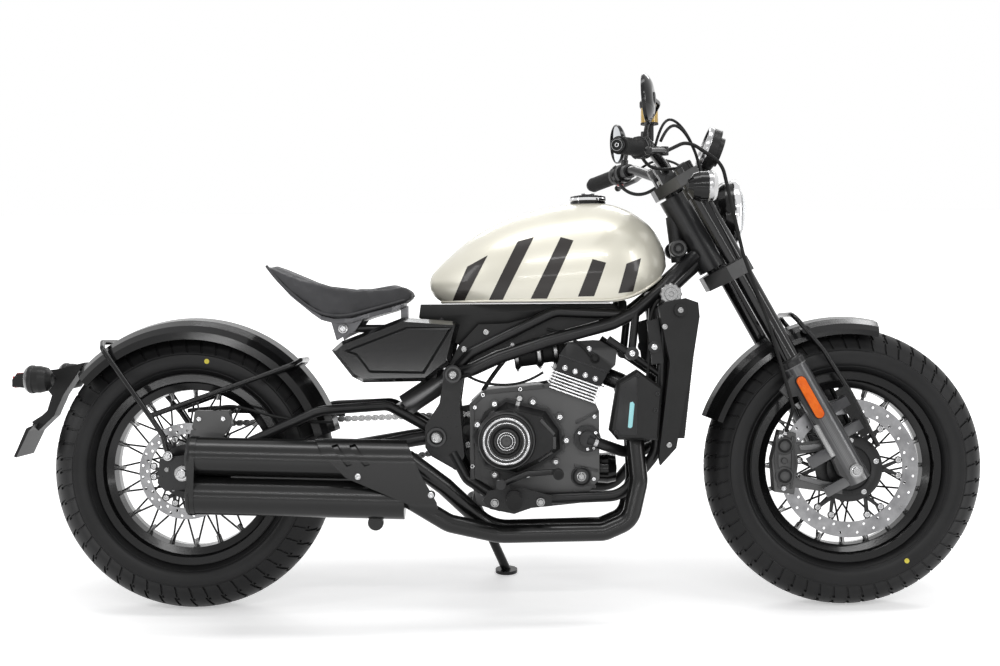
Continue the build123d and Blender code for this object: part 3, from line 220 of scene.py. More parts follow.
DISC = surface("disc_steel", (0.17, 0.17, 0.175), (0.29, 0.29, 0.295), (0.26, 0.4), 1.0, 160, 0.2, 0.0001)
AMBER = surface(
    "amber", (0.72, 0.1, 0.003), (0.86, 0.17, 0.005), (0.2, 0.3), 0.0, 320, 0.6, 0.0008, 0.0, shine=0.25,
)
RED = surface("red", (0.5, 0.012, 0.01), (0.62, 0.02, 0.015), (0.15, 0.2), 0.0, 160, 0.2, 0.0004, 0.6)
MIRROR = surface("mirror_glass", (0.6, 0.62, 0.64), (0.66, 0.68, 0.7), (0.02, 0.04), 1.0, 10)
LENS = surface("clear_lens", (0.82, 0.84, 0.86), (0.9, 0.92, 0.94), (0.03, 0.06), 0.0, 20, 0.0, 0.0, 0.6)
LENS.node_tree.nodes["Principled BSDF"].inputs["Transmission Weight"].default_value = 0.9
LENS.node_tree.nodes["Principled BSDF"].inputs["IOR"].default_value = 1.3
SMOKE = surface(
    "smoke_lens", (0.03, 0.03, 0.032), (0.05, 0.05, 0.052), (0.08, 0.12), 0.0, 60, 0.1, 0.0003, 0.8,
)

CYAN = surface("pale_cyan", (0.3, 0.68, 0.72), (0.36, 0.75, 0.78), (0.25, 0.35), 0.0, 40, 0.05, 0.0001, 0.4)
FLUID = surface(
    "amber_fluid", (0.5, 0.3, 0.03), (0.62, 0.4, 0.05), (0.15, 0.22), 0.0, 60, 0.05, 0.0001, 0.6,
)
SMOKE_CLEAR = surface("signal_clear", 0.62, 0.72, (0.1, 0.16), 0.1, 90, 0.3, 0.0004, 0.8)
YELLOW = surface("yellow_dot", (0.6, 0.52, 0.05), (0.7, 0.6, 0.08), (0.5, 0.6), 0.0, 90, 0.1, 0.0002)
BAR_TOP = 792.0


def cream_paint():
    """Pearl cream paint."""
    made, tree, shader, coords = material("cream_paint")
    tone = noise(tree, coords, 5.0, 3.0)
    colour = mix(tree, spread(tree, tone, 0.0, 1.0, 0.35, 0.65), (0.69, 0.665, 0.56), (0.765, 0.74, 0.64))
    flake = noise(tree, coords, 2600.0, 1.0)
    tree.links.new(colour, shader.inputs["Base Color"])
    tree.links.new(spread(tree, flake, 0.26, 0.4), shader.inputs["Roughness"])
    shader.inputs["Metallic"].default_value = 0.25
    shader.inputs["Coat Weight"].default_value = 0.8
    shader.inputs["Coat Roughness"].default_value = 0.12
    return made


CREAM = cream_paint()
STRIPE = surface(
    "stripe_black", (0.016, 0.0135, 0.0125), (0.022, 0.018, 0.0165), (0.3, 0.4), 0.0, 60, 0.05, 0.0001,
    0.2, shine=0.3,
)


def seat_leather():
    """Dark grey leather with a fine pebbled grain."""
    made, tree, shader, coords = material("seat_leather")
    cells = tree.nodes.new("ShaderNodeTexVoronoi")
    cells.feature = "DISTANCE_TO_EDGE"
    cells.inputs["Scale"].default_value = 420.0
    tree.links.new(coords, cells.inputs["Vector"])
    tone = noise(tree, coords, 9.0, 4.0, 0.6)
    colour = mix(tree, spread(tree, tone, 0.0, 1.0, 0.3, 0.7), (0.03, 0.03, 0.032), (0.05, 0.05, 0.053))
    tree.links.new(colour, shader.inputs["Base Color"])
    tree.links.new(spread(tree, tone, 0.5, 0.62), shader.inputs["Roughness"])
    shader.inputs["Specular IOR Level"].default_value = 0.3
    bump(tree, shader, spread(tree, cells.outputs["Distance"], 0.0, 1.0, 0.0, 0.3), 0.35, 0.0005)
    return made


LEATHER = seat_leather()

NODE_MATERIALS = (
    (SATIN_BLACK, "frame swingarm water_pump foot_pegs foot_controls side_stand bar_controls"),
    (STEEL, "rear_axle chain front_axle rear_sprocket"),
    (CAST_GREY, "rear_shock fork_sliders"),
    (CAST_BLACK, "crankcase cylinders engine_covers rear_caliper triple_clamps front_caliper"),
    (PAINT_BLACK, "oil_filter filler_cap rear_fender fender_struts handlebar headlight"),
    (PAINT_BLACK, "front_signals front_fender fender_brace front_wheel rear_wheel"),
    (SHEEN_PIPE, "exhaust_headers mufflers muffler_shield"),
    (PLASTIC, "radiator radiator_covers canister_box airbox under_tank_panels tail_bracket"),
    (PLASTIC, "tail_lights chain_guard brake_reservoir gauge"),
    (CREAM, "fuel_tank"),
    (LEATHER, "seat"),
    (PAN_GREY, "seat_pan"),
    (GLOSS_BLACK, "side_covers fork_tubes mirrors"),
    (RUBBER, "grips front_hose"),
    (LENS, "headlight_lens"),
    (TYRE_BLACK, "front_tyre rear_tyre"),
    (DISC, "front_disc rear_disc"),
)
for chosen, parts in NODE_MATERIALS:
    for part in parts.split():
        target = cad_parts[part]
        for slot in target.material_slots:
            slot.material = chosen
        if not target.material_slots:
            target.data.materials.append(chosen)

# makers for the added pieces, drawn upright in millimetres


def finished(bm, name, body, paint, smooth=40.0, bevel=0.0):
    """Park a drawn mesh, make it an object and hand it to its body."""
    bmesh.ops.remove_doubles(bm, verts=bm.verts, dist=0.01)
    bmesh.ops.recalc_face_normals(bm, faces=bm.faces)
    bmesh.ops.transform(bm, matrix=UPRIGHT, verts=bm.verts)
    mesh = bpy.data.meshes.new(name)
    bm.to_mesh(mesh)
    bm.free()
    for face in mesh.polygons:
        face.use_smooth = True
    mesh.set_sharp_from_angle(angle=math.radians(smooth))
    mesh.materials.append(paint)
    made = bpy.data.objects.new(name, mesh)
    bpy.context.scene.collection.objects.link(made)
    if bevel:
        rounding = made.modifiers.new("bevel", "BEVEL")
        rounding.width = bevel / 1000
        rounding.segments = 2
        rounding.limit_method = "ANGLE"
    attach(made, body)
    return made


def facing(direction):
    """Rotation that turns +Z to a direction."""
    return Vector(direction).to_track_quat("Z", "Y").to_matrix().to_4x4()


def round_edges(bm, edges, offset, segments=1):
    """Bevel the given edges."""
    bmesh.ops.bevel(
        bm, geom=edges, offset=offset, offset_type="OFFSET", segments=segments, profile=0.5,
        affect="EDGES", material=-1,
    )


def stud(bm, start, end, radius, segments=24, tip=None):
    """Round bar or cone between two points."""
    start, end = Vector(start), Vector(end)
    matrix = Matrix.Translation((start + end) / 2) @ facing(end - start)
    return bmesh.ops.create_cone(
        bm, cap_ends=True, segments=segments, radius1=radius, radius2=radius if tip is None else tip,
        depth=(end - start).length, matrix=matrix,
    )["verts"]


def turned(bm, profile, centre, axis, segments=48):
    """Ring turned about an axis through a centre: profile of radius and height along the axis."""
    matrix = Matrix.Translation(centre) @ facing(axis)
    verts = [bm.verts.new(matrix @ Vector((radius, 0, height))) for radius, height in profile]
    edges = [bm.edges.new(pair) for pair in zip(verts, verts[1:])]
    bmesh.ops.spin(
        bm, geom=verts + edges, cent=Vector(centre), axis=Vector(axis).normalized(), dvec=(0, 0, 0),
        angle=2 * math.pi, steps=segments, use_merge=True, use_normal_flip=False, use_duplicate=False,
    )


def ring_piece(name, body, paint, slot, smooth, *shapes):
    """Piece of turned rings: the profile, centre, axis and segments of each."""
    bm = bmesh.new()
    for shape in shapes:
        turned(bm, *shape)
    return finished(bm, name, body, paint, smooth)


def socket_bolt(bm, where, out, radius, height):
    """Round bolt head with a hexagon socket."""
    where, out = Vector(where), Vector(out).normalized()
    turned(
        bm,
        [
            (radius, 0), (radius, height * 0.82), (radius * 0.86, height), (radius * 0.55, height),
            (radius * 0.5, height * 0.45), (0.0, height * 0.4),
        ],
        where, out, 16,
    )


def hex_bolt(bm, where, out, radius, height):
    """Hexagon bolt head on a round flange."""
    where, out = Vector(where), Vector(out).normalized()
    turned(bm, [(radius * 1.35, 0), (radius * 1.3, height * 0.25), (radius, height * 0.3)], where, out, 24)
    head = stud(bm, where + out * height * 0.2, where + out * height, radius, 6, radius * 0.93)
    edges = list({edge for vert in head for edge in vert.link_edges})
    round_edges(bm, edges, radius * 0.06)


def flat(corners):
    """X and Z of points in space."""
    return [(corner.x, corner.z) for corner in corners]


def plate(bm, outline, near, far, rounding=0.0, segments=2):
    """Side view outline of X and Z, thick from one Y to another, with rounded rims."""
    verts = [bm.verts.new((x, near, z)) for x, z in outline]
    face = bm.faces.new(verts)
    grown = bmesh.ops.extrude_face_region(bm, geom=[face])
    moved = [v for v in grown["geom"] if isinstance(v, bmesh.types.BMVert)]
    bmesh.ops.translate(bm, verts=moved, vec=(0, far - near, 0))
    if rounding:
        rim = [e for e in {e for v in moved for e in v.link_edges} if all(v in moved for v in e.verts)]
        round_edges(bm, rim, rounding, segments)


def rib_bar(bm, start, stop, half_width, near, far, rounding, past=0.0):
    """Flat bar from one place of the side view to another."""
    first, last = Vector((start[0], 0, start[1])), Vector((stop[0], 0, stop[1]))
    heading = (last - first).normalized()
    step = Vector((heading.z, 0, -heading.x)) * half_width
    reach = heading * past
    outline = [first + step - reach, last + step + reach, last - step + reach, first - step - reach]
    plate(bm, flat(outline), near, far, rounding)


def round_about(x, y, z, radius, turn):
    """Point on a circle of the side view."""
    return (x + radius * math.cos(turn), y, z + radius * math.sin(turn))


def arc(first, through, last, count):
    """Points on the circle arc through three points."""
    (ax, ay), (bx, by), (cx, cy) = first, through, last
    d = 2 * (ax * (by - cy) + bx * (cy - ay) + cx * (ay - by))
    ux = (
        (
            ax * ax + ay * ay
        ) * (by - cy) + (bx * bx + by * by) * (cy - ay) + (cx * cx + cy * cy) * (ay - by)
    ) / d
    uy = (
        (
            ax * ax + ay * ay
        ) * (cx - bx) + (bx * bx + by * by) * (ax - cx) + (cx * cx + cy * cy) * (bx - ax)
    ) / d
    radius = math.hypot(ax - ux, ay - uy)
    start = math.atan2(ay - uy, ax - ux)
    turn = (math.atan2(cy - uy, cx - ux) - start + math.pi) % (2 * math.pi) - math.pi
    halfway = (math.atan2(by - uy, bx - ux) - start + math.pi) % (2 * math.pi) - math.pi
    if halfway * turn < 0:
        turn -= math.copysign(2 * math.pi, turn)
    return [
        (ux + radius * math.cos(start + turn * k / count), uy + radius * math.sin(start + turn * k / count))
        for k in range(count + 1)
    ]


def hose(name, points, radius, body, paint):
    """Round cable or hose along a smooth line."""
    curve = bpy.data.curves.new(name, "CURVE")
    curve.dimensions = "3D"
    curve.bevel_depth = radius / 1000
    curve.bevel_resolution = 3
    curve.resolution_u = 8
    curve.use_fill_caps = True
    spline = curve.splines.new("NURBS")
    spline.points.add(len(points) - 1)
    for point, place in zip(spline.points, points):
        point.co = (*at(*place), 1.0)
    spline.order_u = 4
    spline.use_endpoint_u = True
    curve.materials.append(paint)
    made = bpy.data.objects.new(name, curve)
    bpy.context.scene.collection.objects.link(made)
    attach(made, body)
    return made


# tyres with a cut tread

def tyre(name, node, body, radius, half, crown, rim_half, x, z, pitches, cuts):
    """Tyre with slanted grooves across its crown and rings on its side walls."""
    flange = 216.0
    edge = crown - 4.0
    shoulder = radius - crown + math.sqrt(crown * crown - edge * edge)
    bead = (flange + 2, rim_half - 0.3)
    foot = (flange + 6, rim_half + 7)
    wall = arc(foot, (flange + 32, half), (shoulder, edge), 12)
    top = arc((shoulder, edge), (radius, 0), (shoulder, -edge), 24)
    side = [bead] + wall[:2]
    # two shallow rings on the side wall
    for first, last in ((wall[2], wall[3]), (wall[9], wall[10])):
        side.append(first)
        side.append(((first[0] * 3 + last[0]) / 4, (first[1] * 3 + last[1]) / 4 - 1.2))
        side.append(((first[0] + last[0] * 3) / 4, (first[1] + last[1] * 3) / 4 - 1.2))
        if first is wall[2]:
            side += wall[3:9]
    side += wall[10:]
    profile = side + top[1:-1] + [(r, -y) for r, y in reversed(side)]
    profile = [(204.0, rim_half - 0.3)] + profile + [(204.0, 0.3 - rim_half)]
    lanes = 6
    steps = pitches * lanes
    bm = bmesh.new()
    verts = [bm.verts.new((r, y, 0)) for r, y in profile]
    edges = [bm.edges.new(pair) for pair in zip(verts, verts[1:])]
    bmesh.ops.spin(
        bm, geom=verts + edges, cent=(0, 0, 0), axis=(0, 1, 0), dvec=(0, 0, 0),
        angle=2 * math.pi, steps=steps, use_merge=True, use_normal_flip=False, use_duplicate=False,
    )
    bmesh.ops.recalc_face_normals(bm, faces=bm.faces)
    groove = []
    for face in bm.faces:
        middle = face.calc_center_median()
        if math.hypot(middle.x, middle.z) < shoulder - 9:
            continue
        turn = math.atan2(middle.z, middle.x) / (2 * math.pi) * steps
        place = int(turn + (lanes / 2 if middle.y > 0 else 0)) % lanes
        across = abs(middle.y) / edge
        if any(low < across < high and place in lane for low, high, lane in cuts):
            groove.append(face)
    # the lines of the grid lean back towards the shoulders, so the grooves slant
    for vert in bm.verts:
        out = math.hypot(vert.co.x, vert.co.z)
        if out > 230:
            lean = 0.085 * (abs(vert.co.y) / half) ** 1.4 * (
                1 if out > shoulder - 12 else max(0.0, (out - 230) / (shoulder - 242))
            )
            vert.co = Matrix.Rotation(lean, 3, "Y") @ vert.co
    bmesh.ops.inset_region(
        bm, faces=groove, thickness=0.5, depth=-3.6, use_even_offset=True, use_boundary=True,
    )
    bmesh.ops.translate(bm, verts=bm.verts, vec=(x, 0, z))
    made = finished(bm, name, body, TYRE_BLACK, 35)
    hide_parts(node)
    return made


TREAD = (
    (0.0, 0.06, (0, 1, 2)), (0.06, 0.4, (2,)), (0.4, 0.47, (2, 3)), (0.47, 0.78, (3,)),
    (0.78, 0.85, (3, 4)), (0.85, 1.3, (4,)),
)
tyre(
    "front_tyre_tread", "front_tyre", "front_wheel", 318.0, 65.0, 60.0, 42.0, WHEELBASE, FRONT_Z, 56,
    TREAD,
)
tyre("rear_tyre_tread", "rear_tyre", "rear_wheel", 321.0, 75.0, 70.0, 50.0, 0.0, REAR_Z, 52, TREAD)

# tank stripes, laid on the painted surface

tank_tree = BVHTree.FromObject(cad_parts["fuel_tank"], bpy.context.evaluated_depsgraph_get())


def on_side(tree, x, z, sign, lift):
    """Point on a surface seen from the side, lifted off it a little."""
    start = at(x, sign * 400.0, z)
    hit, normal, _, _ = tree.ray_cast(start, way(0, -sign, 0))
    if hit is None:
        return None
    return hit + normal * lift


def stripe(name, bottom, top, sign):
    """Slanted band on the tank side: its two lower and two upper corners in X and Z."""
    bm = bmesh.new()
    rows, columns = 16, 5
    grid = []
    for row in range(rows + 1):
        t = row / rows
        line = []
        for column in range(columns + 1):
            u = column / columns
            low = (
                bottom[0][0] + (bottom[1][0] - bottom[0][0]) * u,
                bottom[0][1] + (bottom[1][1] - bottom[0][1]) * u,
            )
            high = (top[0][0] + (top[1][0] - top[0][0]) * u, top[0][1] + (top[1][1] - top[0][1]) * u)
            x = low[0] + (high[0] - low[0]) * t
            z = low[1] + (high[1] - low[1]) * t
            line.append(bm.verts.new(on_side(tank_tree, x, z, sign, 0.0005)))
        grid.append(line)
    for row in range(rows):
        for column in range(columns):
            quad = [
                grid[row][column], grid[row][column + 1], grid[row + 1][column + 1],
                grid[row + 1][column],
            ]
            bm.faces.new(quad if sign < 0 else quad[::-1])
    mesh = bpy.data.meshes.new(name)
    bm.to_mesh(mesh)
    bm.free()
    for face in mesh.polygons:
        face.use_smooth = True
    mesh.materials.append(STRIPE)
    made = bpy.data.objects.new(name, mesh)
    bpy.context.scene.collection.objects.link(made)
    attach(made, "chassis")
    return made


TANK_STRIPES = (
    (((596, 702.5), (624, 702.5)), ((631, 778), (677, 802))),
    (((679, 702.5), (710, 702.5)), ((744, 832), (780, 841))),
    (((772, 704), (808, 704)), ((839, 840), (867, 832))),
    (((876, 708), (912, 708.5)), ((908, 790), (938, 782))),
    (((966, 715), (1000, 719)), ((984, 780), (1018, 793))),
)
for count, (bottom, top) in enumerate(TANK_STRIPES):
    stripe(f"tank_stripe_right_{count + 1}", bottom, top, -1)
    stripe(f"tank_stripe_left_{count + 1}", bottom, top, 1)

# welded rim low round the tank, and a panel that closes the space under it

rim_low = []
for x in (552, 570, 600, 640, 700, 770, 850, 920, 960, 1000, 1028, 1050, 1068):
    z = 702.0 if x < 950 else 702.0 + ((x - 950) / 118) ** 2 * 52
    hit = on_side(tank_tree, x, z, -1, 0.0)
    if hit is not None:
        rim_low.append(UPRIGHT.inverted() @ hit)
right_rim = [(p.x, p.y - 1.0, p.z - 2.0) for p in rim_low]
left_rim = [(p.x, -p.y + 1.0, p.z - 2.0) for p in rim_low]
hose("tank_rim_right", right_rim, 3.2, "chassis", CREAM)
hose("tank_rim_left", left_rim, 3.2, "chassis", CREAM)

# bolts, each set down on the painted part behind it

TREES = {}


def face_y(node, x, z, sign=-1):
    """How far out a part's side surface stands at a place seen from the side."""
    if node not in TREES:
        TREES[node] = BVHTree.FromObject(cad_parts[node], bpy.context.evaluated_depsgraph_get())
    hit, _, _, _ = TREES[node].ray_cast(at(x, sign * 500.0, z), way(0, -sign, 0))
    if hit is None:
        raise ValueError(f"nothing of {node} at {x}, {z}")
    return (UPRIGHT.inverted() @ hit).y


def bolts(name, node, body, places, radius, height, paint, sides=(-1,), kind=socket_bolt):
    """Row of bolt heads on the sides of a part."""
    bm = bmesh.new()
    for sign in sides:
        for x, z in places:
            kind(bm, (x, face_y(node, x, z, sign) - sign * 0.4, z), (0, sign, 0), radius, height)
    return finished(bm, name, body, paint, 30)


COVER_BOLTS = (
    (652, 424), (690, 470), (776, 474), (836, 440), (850, 388), (826, 340), (764, 311), (690, 312),
)
bolts("clutch_cover_bolts", "engine_covers", "chassis", COVER_BOLTS, 6.2, 7, BRIGHT)
bolts(
    "generator_cover_bolts", "engine_covers", "chassis",
    ((712, 345), (712, 432), (750, 466), (815, 458), (846, 415), (840, 355), (798, 322), (742, 318)), 5.5,
    6, BRIGHT, (1,),
)
bolts(
    "sprocket_cover_bolts", "engine_covers", "chassis", ((604, 350), (608, 440), (664, 455), (640, 322)),
    5.5, 6, BRIGHT, (1,),
)
bolts("case_bolts", "crankcase", "chassis",
      ((646, 462), (664, 490), (748, 502), (640, 330), (700, 238), (880, 258), (912, 300), (914, 440)),
      5.0, 6, BRIGHT, (-1, 1))
bolts("pump_bolts", "water_pump", "chassis", ((879, 405), (897, 368.5), (915, 405)), 4.0, 5, BRIGHT)
bolts("shield_bolts", "muffler_shield", "chassis", ((398, 323), (554, 283)), 6.5, 5, BRIGHT)
bolts("peg_plate_bolts", "foot_pegs", "chassis", ((690, 258), (790, 259)), 7.0, 6, STEEL, (-1, 1), hex_bolt)
bolts("side_panel_bolts", "under_tank_panels", "chassis", ((672, 630), (622, 592)), 6.5, 4, STEEL, (-1, 1))
bolts("tank_panel_bolts", "under_tank_panels", "chassis", ((731, 602),), 5.0, 4, STEEL, (-1, 1))
bolts(
    "canister_bolts", "canister_box", "chassis", ((1047, 494), (1042, 458), (955, 410), (1003, 535)), 5.0,
    4, SATIN_BLACK,
)
bolts(
    "radiator_cover_bolts", "radiator_covers", "chassis", ((1100, 676), (1066, 640), (1074, 380)), 6.0, 4,
    STEEL, (-1, 1),
)
bolts("caliper_bolts", "front_caliper", "steering", ((1332, 392), (1338, 276), (1452, 272)), 6.0, 6, BRIGHT)
bolts("seat_pan_bolts", "seat_pan", "chassis", ((350, 640),), 8.0, 6, BRIGHT, (-1, 1), hex_bolt)
bolts("strut_bolts", "fender_struts", "chassis", ((-31, 361),), 8.0, 6, BRIGHT, (-1, 1), hex_bolt)
bolts("rear_caliper_bolts", "rear_caliper", "chassis", ((30, 440), (84, 440)), 5.5, 6, BRIGHT)
bolts("frame_pivot_bolts", "frame", "chassis", ((997, 581), (1046, 595)), 7.0, 5, BRIGHT)

axle_nuts = bmesh.new()
for sign in (-1, 1):
    hex_bolt(axle_nuts, (0, face_y("rear_axle", 0, REAR_Z, sign) - sign * 0.5, REAR_Z), (0, sign, 0), 11, 9)
finished(axle_nuts, "rear_axle_nuts", "chassis", BRIGHT, 30)
front_caps = bmesh.new()
for sign in (-1, 1):
    hex_bolt(front_caps, (WHEELBASE, sign * 140.8, FRONT_Z), (0, sign, 0), 9, 6)
finished(front_caps, "front_axle_caps", "steering", BRIGHT, 30)

# engine trim

CLUTCH = (716, 0, 392)
GENERATOR = (778, 0, 392)
TANK_CAP = (908, 0, 0)
BOWL = (1243, 0, 901)
GAUGE = (1190, 0, 1050)
BARREL = Matrix.Translation((863.5, 0, 486.5)) @ Matrix.Rotation(math.radians(20), 4, "Y")
fins = bmesh.new()
for fin in range(6):
    edge_bar = bmesh.ops.create_cube(
        fins, size=1.0,
        matrix=BARREL @ Matrix.Translation((0, 0, 3 + fin * 7.2)) @ Matrix.Diagonal(
            (111.6, 226.4, 3.8, 1)
        ),
    )["verts"]
    rims = list({edge for vert in edge_bar for edge in vert.link_edges})
    round_edges(fins, rims, 0.5)
finished(fins, "fin_edges", "chassis", BRIGHT, 30)

nuts = bmesh.new()
for x, z in ((-36, 54), (-12, 54), (12, 54), (36, 54), (0, 112)):
    for sign in (-1, 1):
        place = BARREL @ Vector((x, sign * 110.6, z))
        hex_bolt(nuts, place, (0, sign, 0), 4.6, 6)
finished(nuts, "head_bolts", "chassis", BRIGHT, 30)

seams = bmesh.new()
for low, high, grow in ((75, 79, 1.2), (42.5, 45, 1.6)):
    for sign in (-1, 1):
        outline = [
            BARREL @ Vector((x, 0, z))
            for x, z in ((-57 - grow, low), (59 + grow, low), (60 + grow, high), (-57 - grow, high))
        ]
        plate(seams, flat(outline), sign * 100, sign * 109.4, 0.8)
finished(seams, "head_joints", "chassis", SATIN_BLACK, 30)

leads = bmesh.new()
for sign in (-1, 1):
    base = BARREL @ Vector((20, sign * 107, 96))
    turned(leads, [(0, 14), (5, 14), (9, 10), (9, 5), (11, 4), (11, 0), (0, 0)], base, (0, sign, 0), 24)
finished(leads, "plug_caps", "chassis", RUBBER, 30)

cover_ring = bmesh.new()
turned(
    cover_ring,
    [(46.4, 190), (46.4, 197.6), (48, 199), (51, 198.6), (52.4, 196.6), (52.4, 189), (46.4, 190)], CLUTCH,
    RIGHT, 96,
)
turned(cover_ring, [(38.4, 196), (39.6, 198), (41, 198), (42, 196), (38.4, 196)], CLUTCH, RIGHT, 96)
for radius in (14.0, 19.0):
    turned(
        cover_ring,
        [(radius - 0.9, 189), (radius - 0.6, 192.4), (radius + 0.6, 192.4), (radius + 0.9, 189)], CLUTCH,
        RIGHT, 72,
    )
finished(cover_ring, "clutch_ring", "chassis", BRIGHT, 50)
cover_rib = bmesh.new()
for radius, depth in ((60.5, 181.5), (25, 190.0)):
    turned(
        cover_rib,
        [
            (radius - 2, depth - 1), (radius - 1, depth + 1.2), (radius + 1, depth + 1.2),
            (radius + 2, depth - 1.4),
        ],
        CLUTCH, RIGHT, 96,
    )
turned(cover_rib, [(35.2, 190), (36, 197.3), (46.6, 197.3)], CLUTCH, RIGHT, 96)
finished(cover_rib, "clutch_ribs", "chassis", CAST_BLACK, 40)

ring_piece(
    "generator_ring", "chassis", BRIGHT, "steel", 40,
    ([(30, 165), (31, 168), (36, 168), (37, 165)], GENERATOR, LEFT, 72),
    ([(0, 168), (10, 168), (12, 165.4)], GENERATOR, LEFT, 48),
)


def clamp(bm, place, along, radius, width=8.0):
    """Hose clamp with a screw."""
    along = Vector(along).normalized()
    turned(
        bm,
        [
            (radius, -width / 2), (radius + 1.6, -width / 2), (radius + 1.6, width / 2),
            (radius, width / 2), (radius, -width / 2),
        ],
        place, along, 40,
    )
    across = along.cross(Vector((0, 0, 1))).normalized()
    screw = Vector(place) + along.cross(across).normalized() * (radius + 3)
    socket_bolt(bm, screw - across * 5, across, 3.2, 10)


clamps = bmesh.new()
clamp(clamps, (915, -120.5, 385.5), (41, 5, -15), 12.6)
clamp(clamps, (1076, -66, 402), (42, 0, 48), 12.6)
finished(clamps, "hose_clamps", "chassis", BRIGHT, 30)

# cooling

cap = bmesh.new()
turned(
    cap,
    [
        (0, -24), (17, -24), (17, -9), (23, -9), (23.5, -7), (23.5, 3), (21.5, 5), (15, 5), (14, 7.5),
        (6, 7.5), (5, 6), (0, 6),
    ],
    (1082, -140, 712), RIGHT, 72,
)
for vert in cap.verts:
    reach = Vector((vert.co.x - 1082, 0, vert.co.z - 712))
    if reach.length > 21:
        lobe = 1 + 0.05 * math.cos(12 * math.atan2(reach.z, reach.x))
        vert.co = Vector((1082, vert.co.y, 712)) + reach * lobe
finished(cap, "radiator_cap", "chassis", STEEL, 25)

ring_piece(
    "filler_cap_ring", "chassis", CHROME, "chrome", 35,
    (
        [(40.8, 930), (42.4, 931), (42.4, 935.5), (40.5, 937.5), (38.5, 937.5), (38.2, 934), (40.8, 930)],
        TANK_CAP, (0, 0, 1), 96,
    ),
    ([(15.1, 946), (16, 947.2), (14.6, 949.4), (11, 949.6), (10, 948)], TANK_CAP, (0, 0, 1), 48),
)

core = bmesh.new()
across = Vector((31, 0, 270)).normalized()
for sign, gap in ((1, 13.4), (-1, -13.4)):
    for row in range(44):
        middle = Vector((1114.5, 0, 527)) + across * (row - 21.5) * 5.9
        middle += Vector((across.z, 0, -across.x)) * gap
        bar = Matrix.Translation(middle) @ Matrix.Rotation(
            math.atan2(across.x, across.z), 4, "Y",
        ) @ Matrix.Diagonal((2.6, 240, 2.2, 1))
        bmesh.ops.create_cube(core, size=1.0, matrix=bar)
finished(core, "radiator_core", "chassis", CAST_GREY, 30)

light_bar = bmesh.new()
plate(
    light_bar, [(981, 421), (987, 419), (991, 422), (996, 472), (992, 477), (986, 475)], -183.4, -185.2,
    0.6,
)
finished(light_bar, "canister_light_bar", "chassis", CYAN, 40)
box_rib = bmesh.new()
plate(
    box_rib, [(966, 512), (1000, 533), (1004, 528), (1001, 404), (966, 404), (954, 418)], -183.6, -184.8,
    0.8,
)
finished(box_rib, "canister_panel", "chassis", SATIN_BLACK, 40)

# fork: reflector, brake side shelf, slider rings and dust caps

def along_leg(y, up, ahead=0.0):
    """A point beside the leg, given along it."""
    return Vector(fork_point(FORK_OFFSET + ahead, y, up))


shelf = bmesh.new()
for sign in (-1, 1):
    line = [(-14, 254), (-58, 236), (-52, 214), (-30, 206), (-26, 130), (-10, 124), (-6, 254)]
    corners = [along_leg(0, up, ahead) for ahead, up in line]
    plate(shelf, flat(corners), sign * 112, sign * 128, 2.5)
    low = [(-4, 56), (-30, 44), (-34, 6), (-22, -16), (6, -20), (12, 50)]
    corners = [along_leg(0, up, ahead) for ahead, up in low]
    plate(shelf, flat(corners), sign * 96, sign * 124, 3.0)
finished(shelf, "slider_shelves", "steering", CAST_BLACK, 35)

tube_window = bmesh.new()
for sign in (-1, 1):
    stud(tube_window, along_leg(sign * 116, 50, -24), along_leg(sign * 116, 130, -24), 9, 32)
finished(tube_window, "slider_tubes", "steering", STEEL, 35)

reflector = bmesh.new()
holder = bmesh.new()
for sign in (-1, 1):
    first, last = along_leg(0, 232, -8), along_leg(0, 150, -8)
    heading = (last - first).normalized()
    side_step = Vector((heading.z, 0, -heading.x))
    for target, radius, near, far, rounding in (
        (reflector, 10.5, 131, 137.5, 1.6), (holder, 12.5, 126, 133.5, 1.0),
    ):
        outline = []
        for centre, start in ((first, 0.0), (last, math.pi)):
            for step in range(13):
                turn = start + math.pi * step / 12
                outline.append(
                    centre + side_step * radius * math.cos(turn) - heading * radius * math.sin(turn)
                )
        plate(target, flat(outline), sign * near, sign * far, rounding)
finished(reflector, "fork_reflectors", "steering", AMBER, 40)
finished(holder, "reflector_holders", "steering", PLASTIC, 40)

rings = bmesh.new()
for sign in (-1, 1):
    for low, profile in (
        (281, [(22.3, 6), (25, 5), (27, 2), (30.6, 0), (31, -3), (31, -12), (30, -13)]),
        (534, [(22.2, 4), (24.5, 3), (25, 0)]),
        (782, [(0, 2.5), (8, 2.5), (9, 1), (16, 1), (20, 0.5), (22.4, -2), (22.4, -6)]),
    ):
        turned(
            rings, profile, along_leg(sign * 105, low),
            Vector(fork_point(0, 0, 1)) - Vector(fork_point(0, 0, 0)), 48,
        )
finished(rings, "fork_rings", "steering", SATIN_BLACK, 35)

clamp_bolts = bmesh.new()
steer = (Vector(fork_point(0, 0, 1)) - Vector(fork_point(0, 0, 0))).normalized()
front = Vector((math.cos(RAKE), 0, math.sin(RAKE)))
for sign in (-1, 1):
    for up in (508, 526, 745, 757):
        socket_bolt(clamp_bolts, along_leg(sign * 84, up, 25), front, 4.4, 6)
    for up, ahead in ((BAR_TOP + 18.6, -12), (BAR_TOP + 18.6, 12)):
        for y in (42, 58):
            socket_bolt(clamp_bolts, fork_point(4 + ahead, sign * y, up), steer, 4.2, 5)
socket_bolt(clamp_bolts, fork_point(0, 0, 769.6), steer, 15, 9)
finished(clamp_bolts, "clamp_bolts", "steering", STEEL, 30)

# disc carriers in black with bright buttons

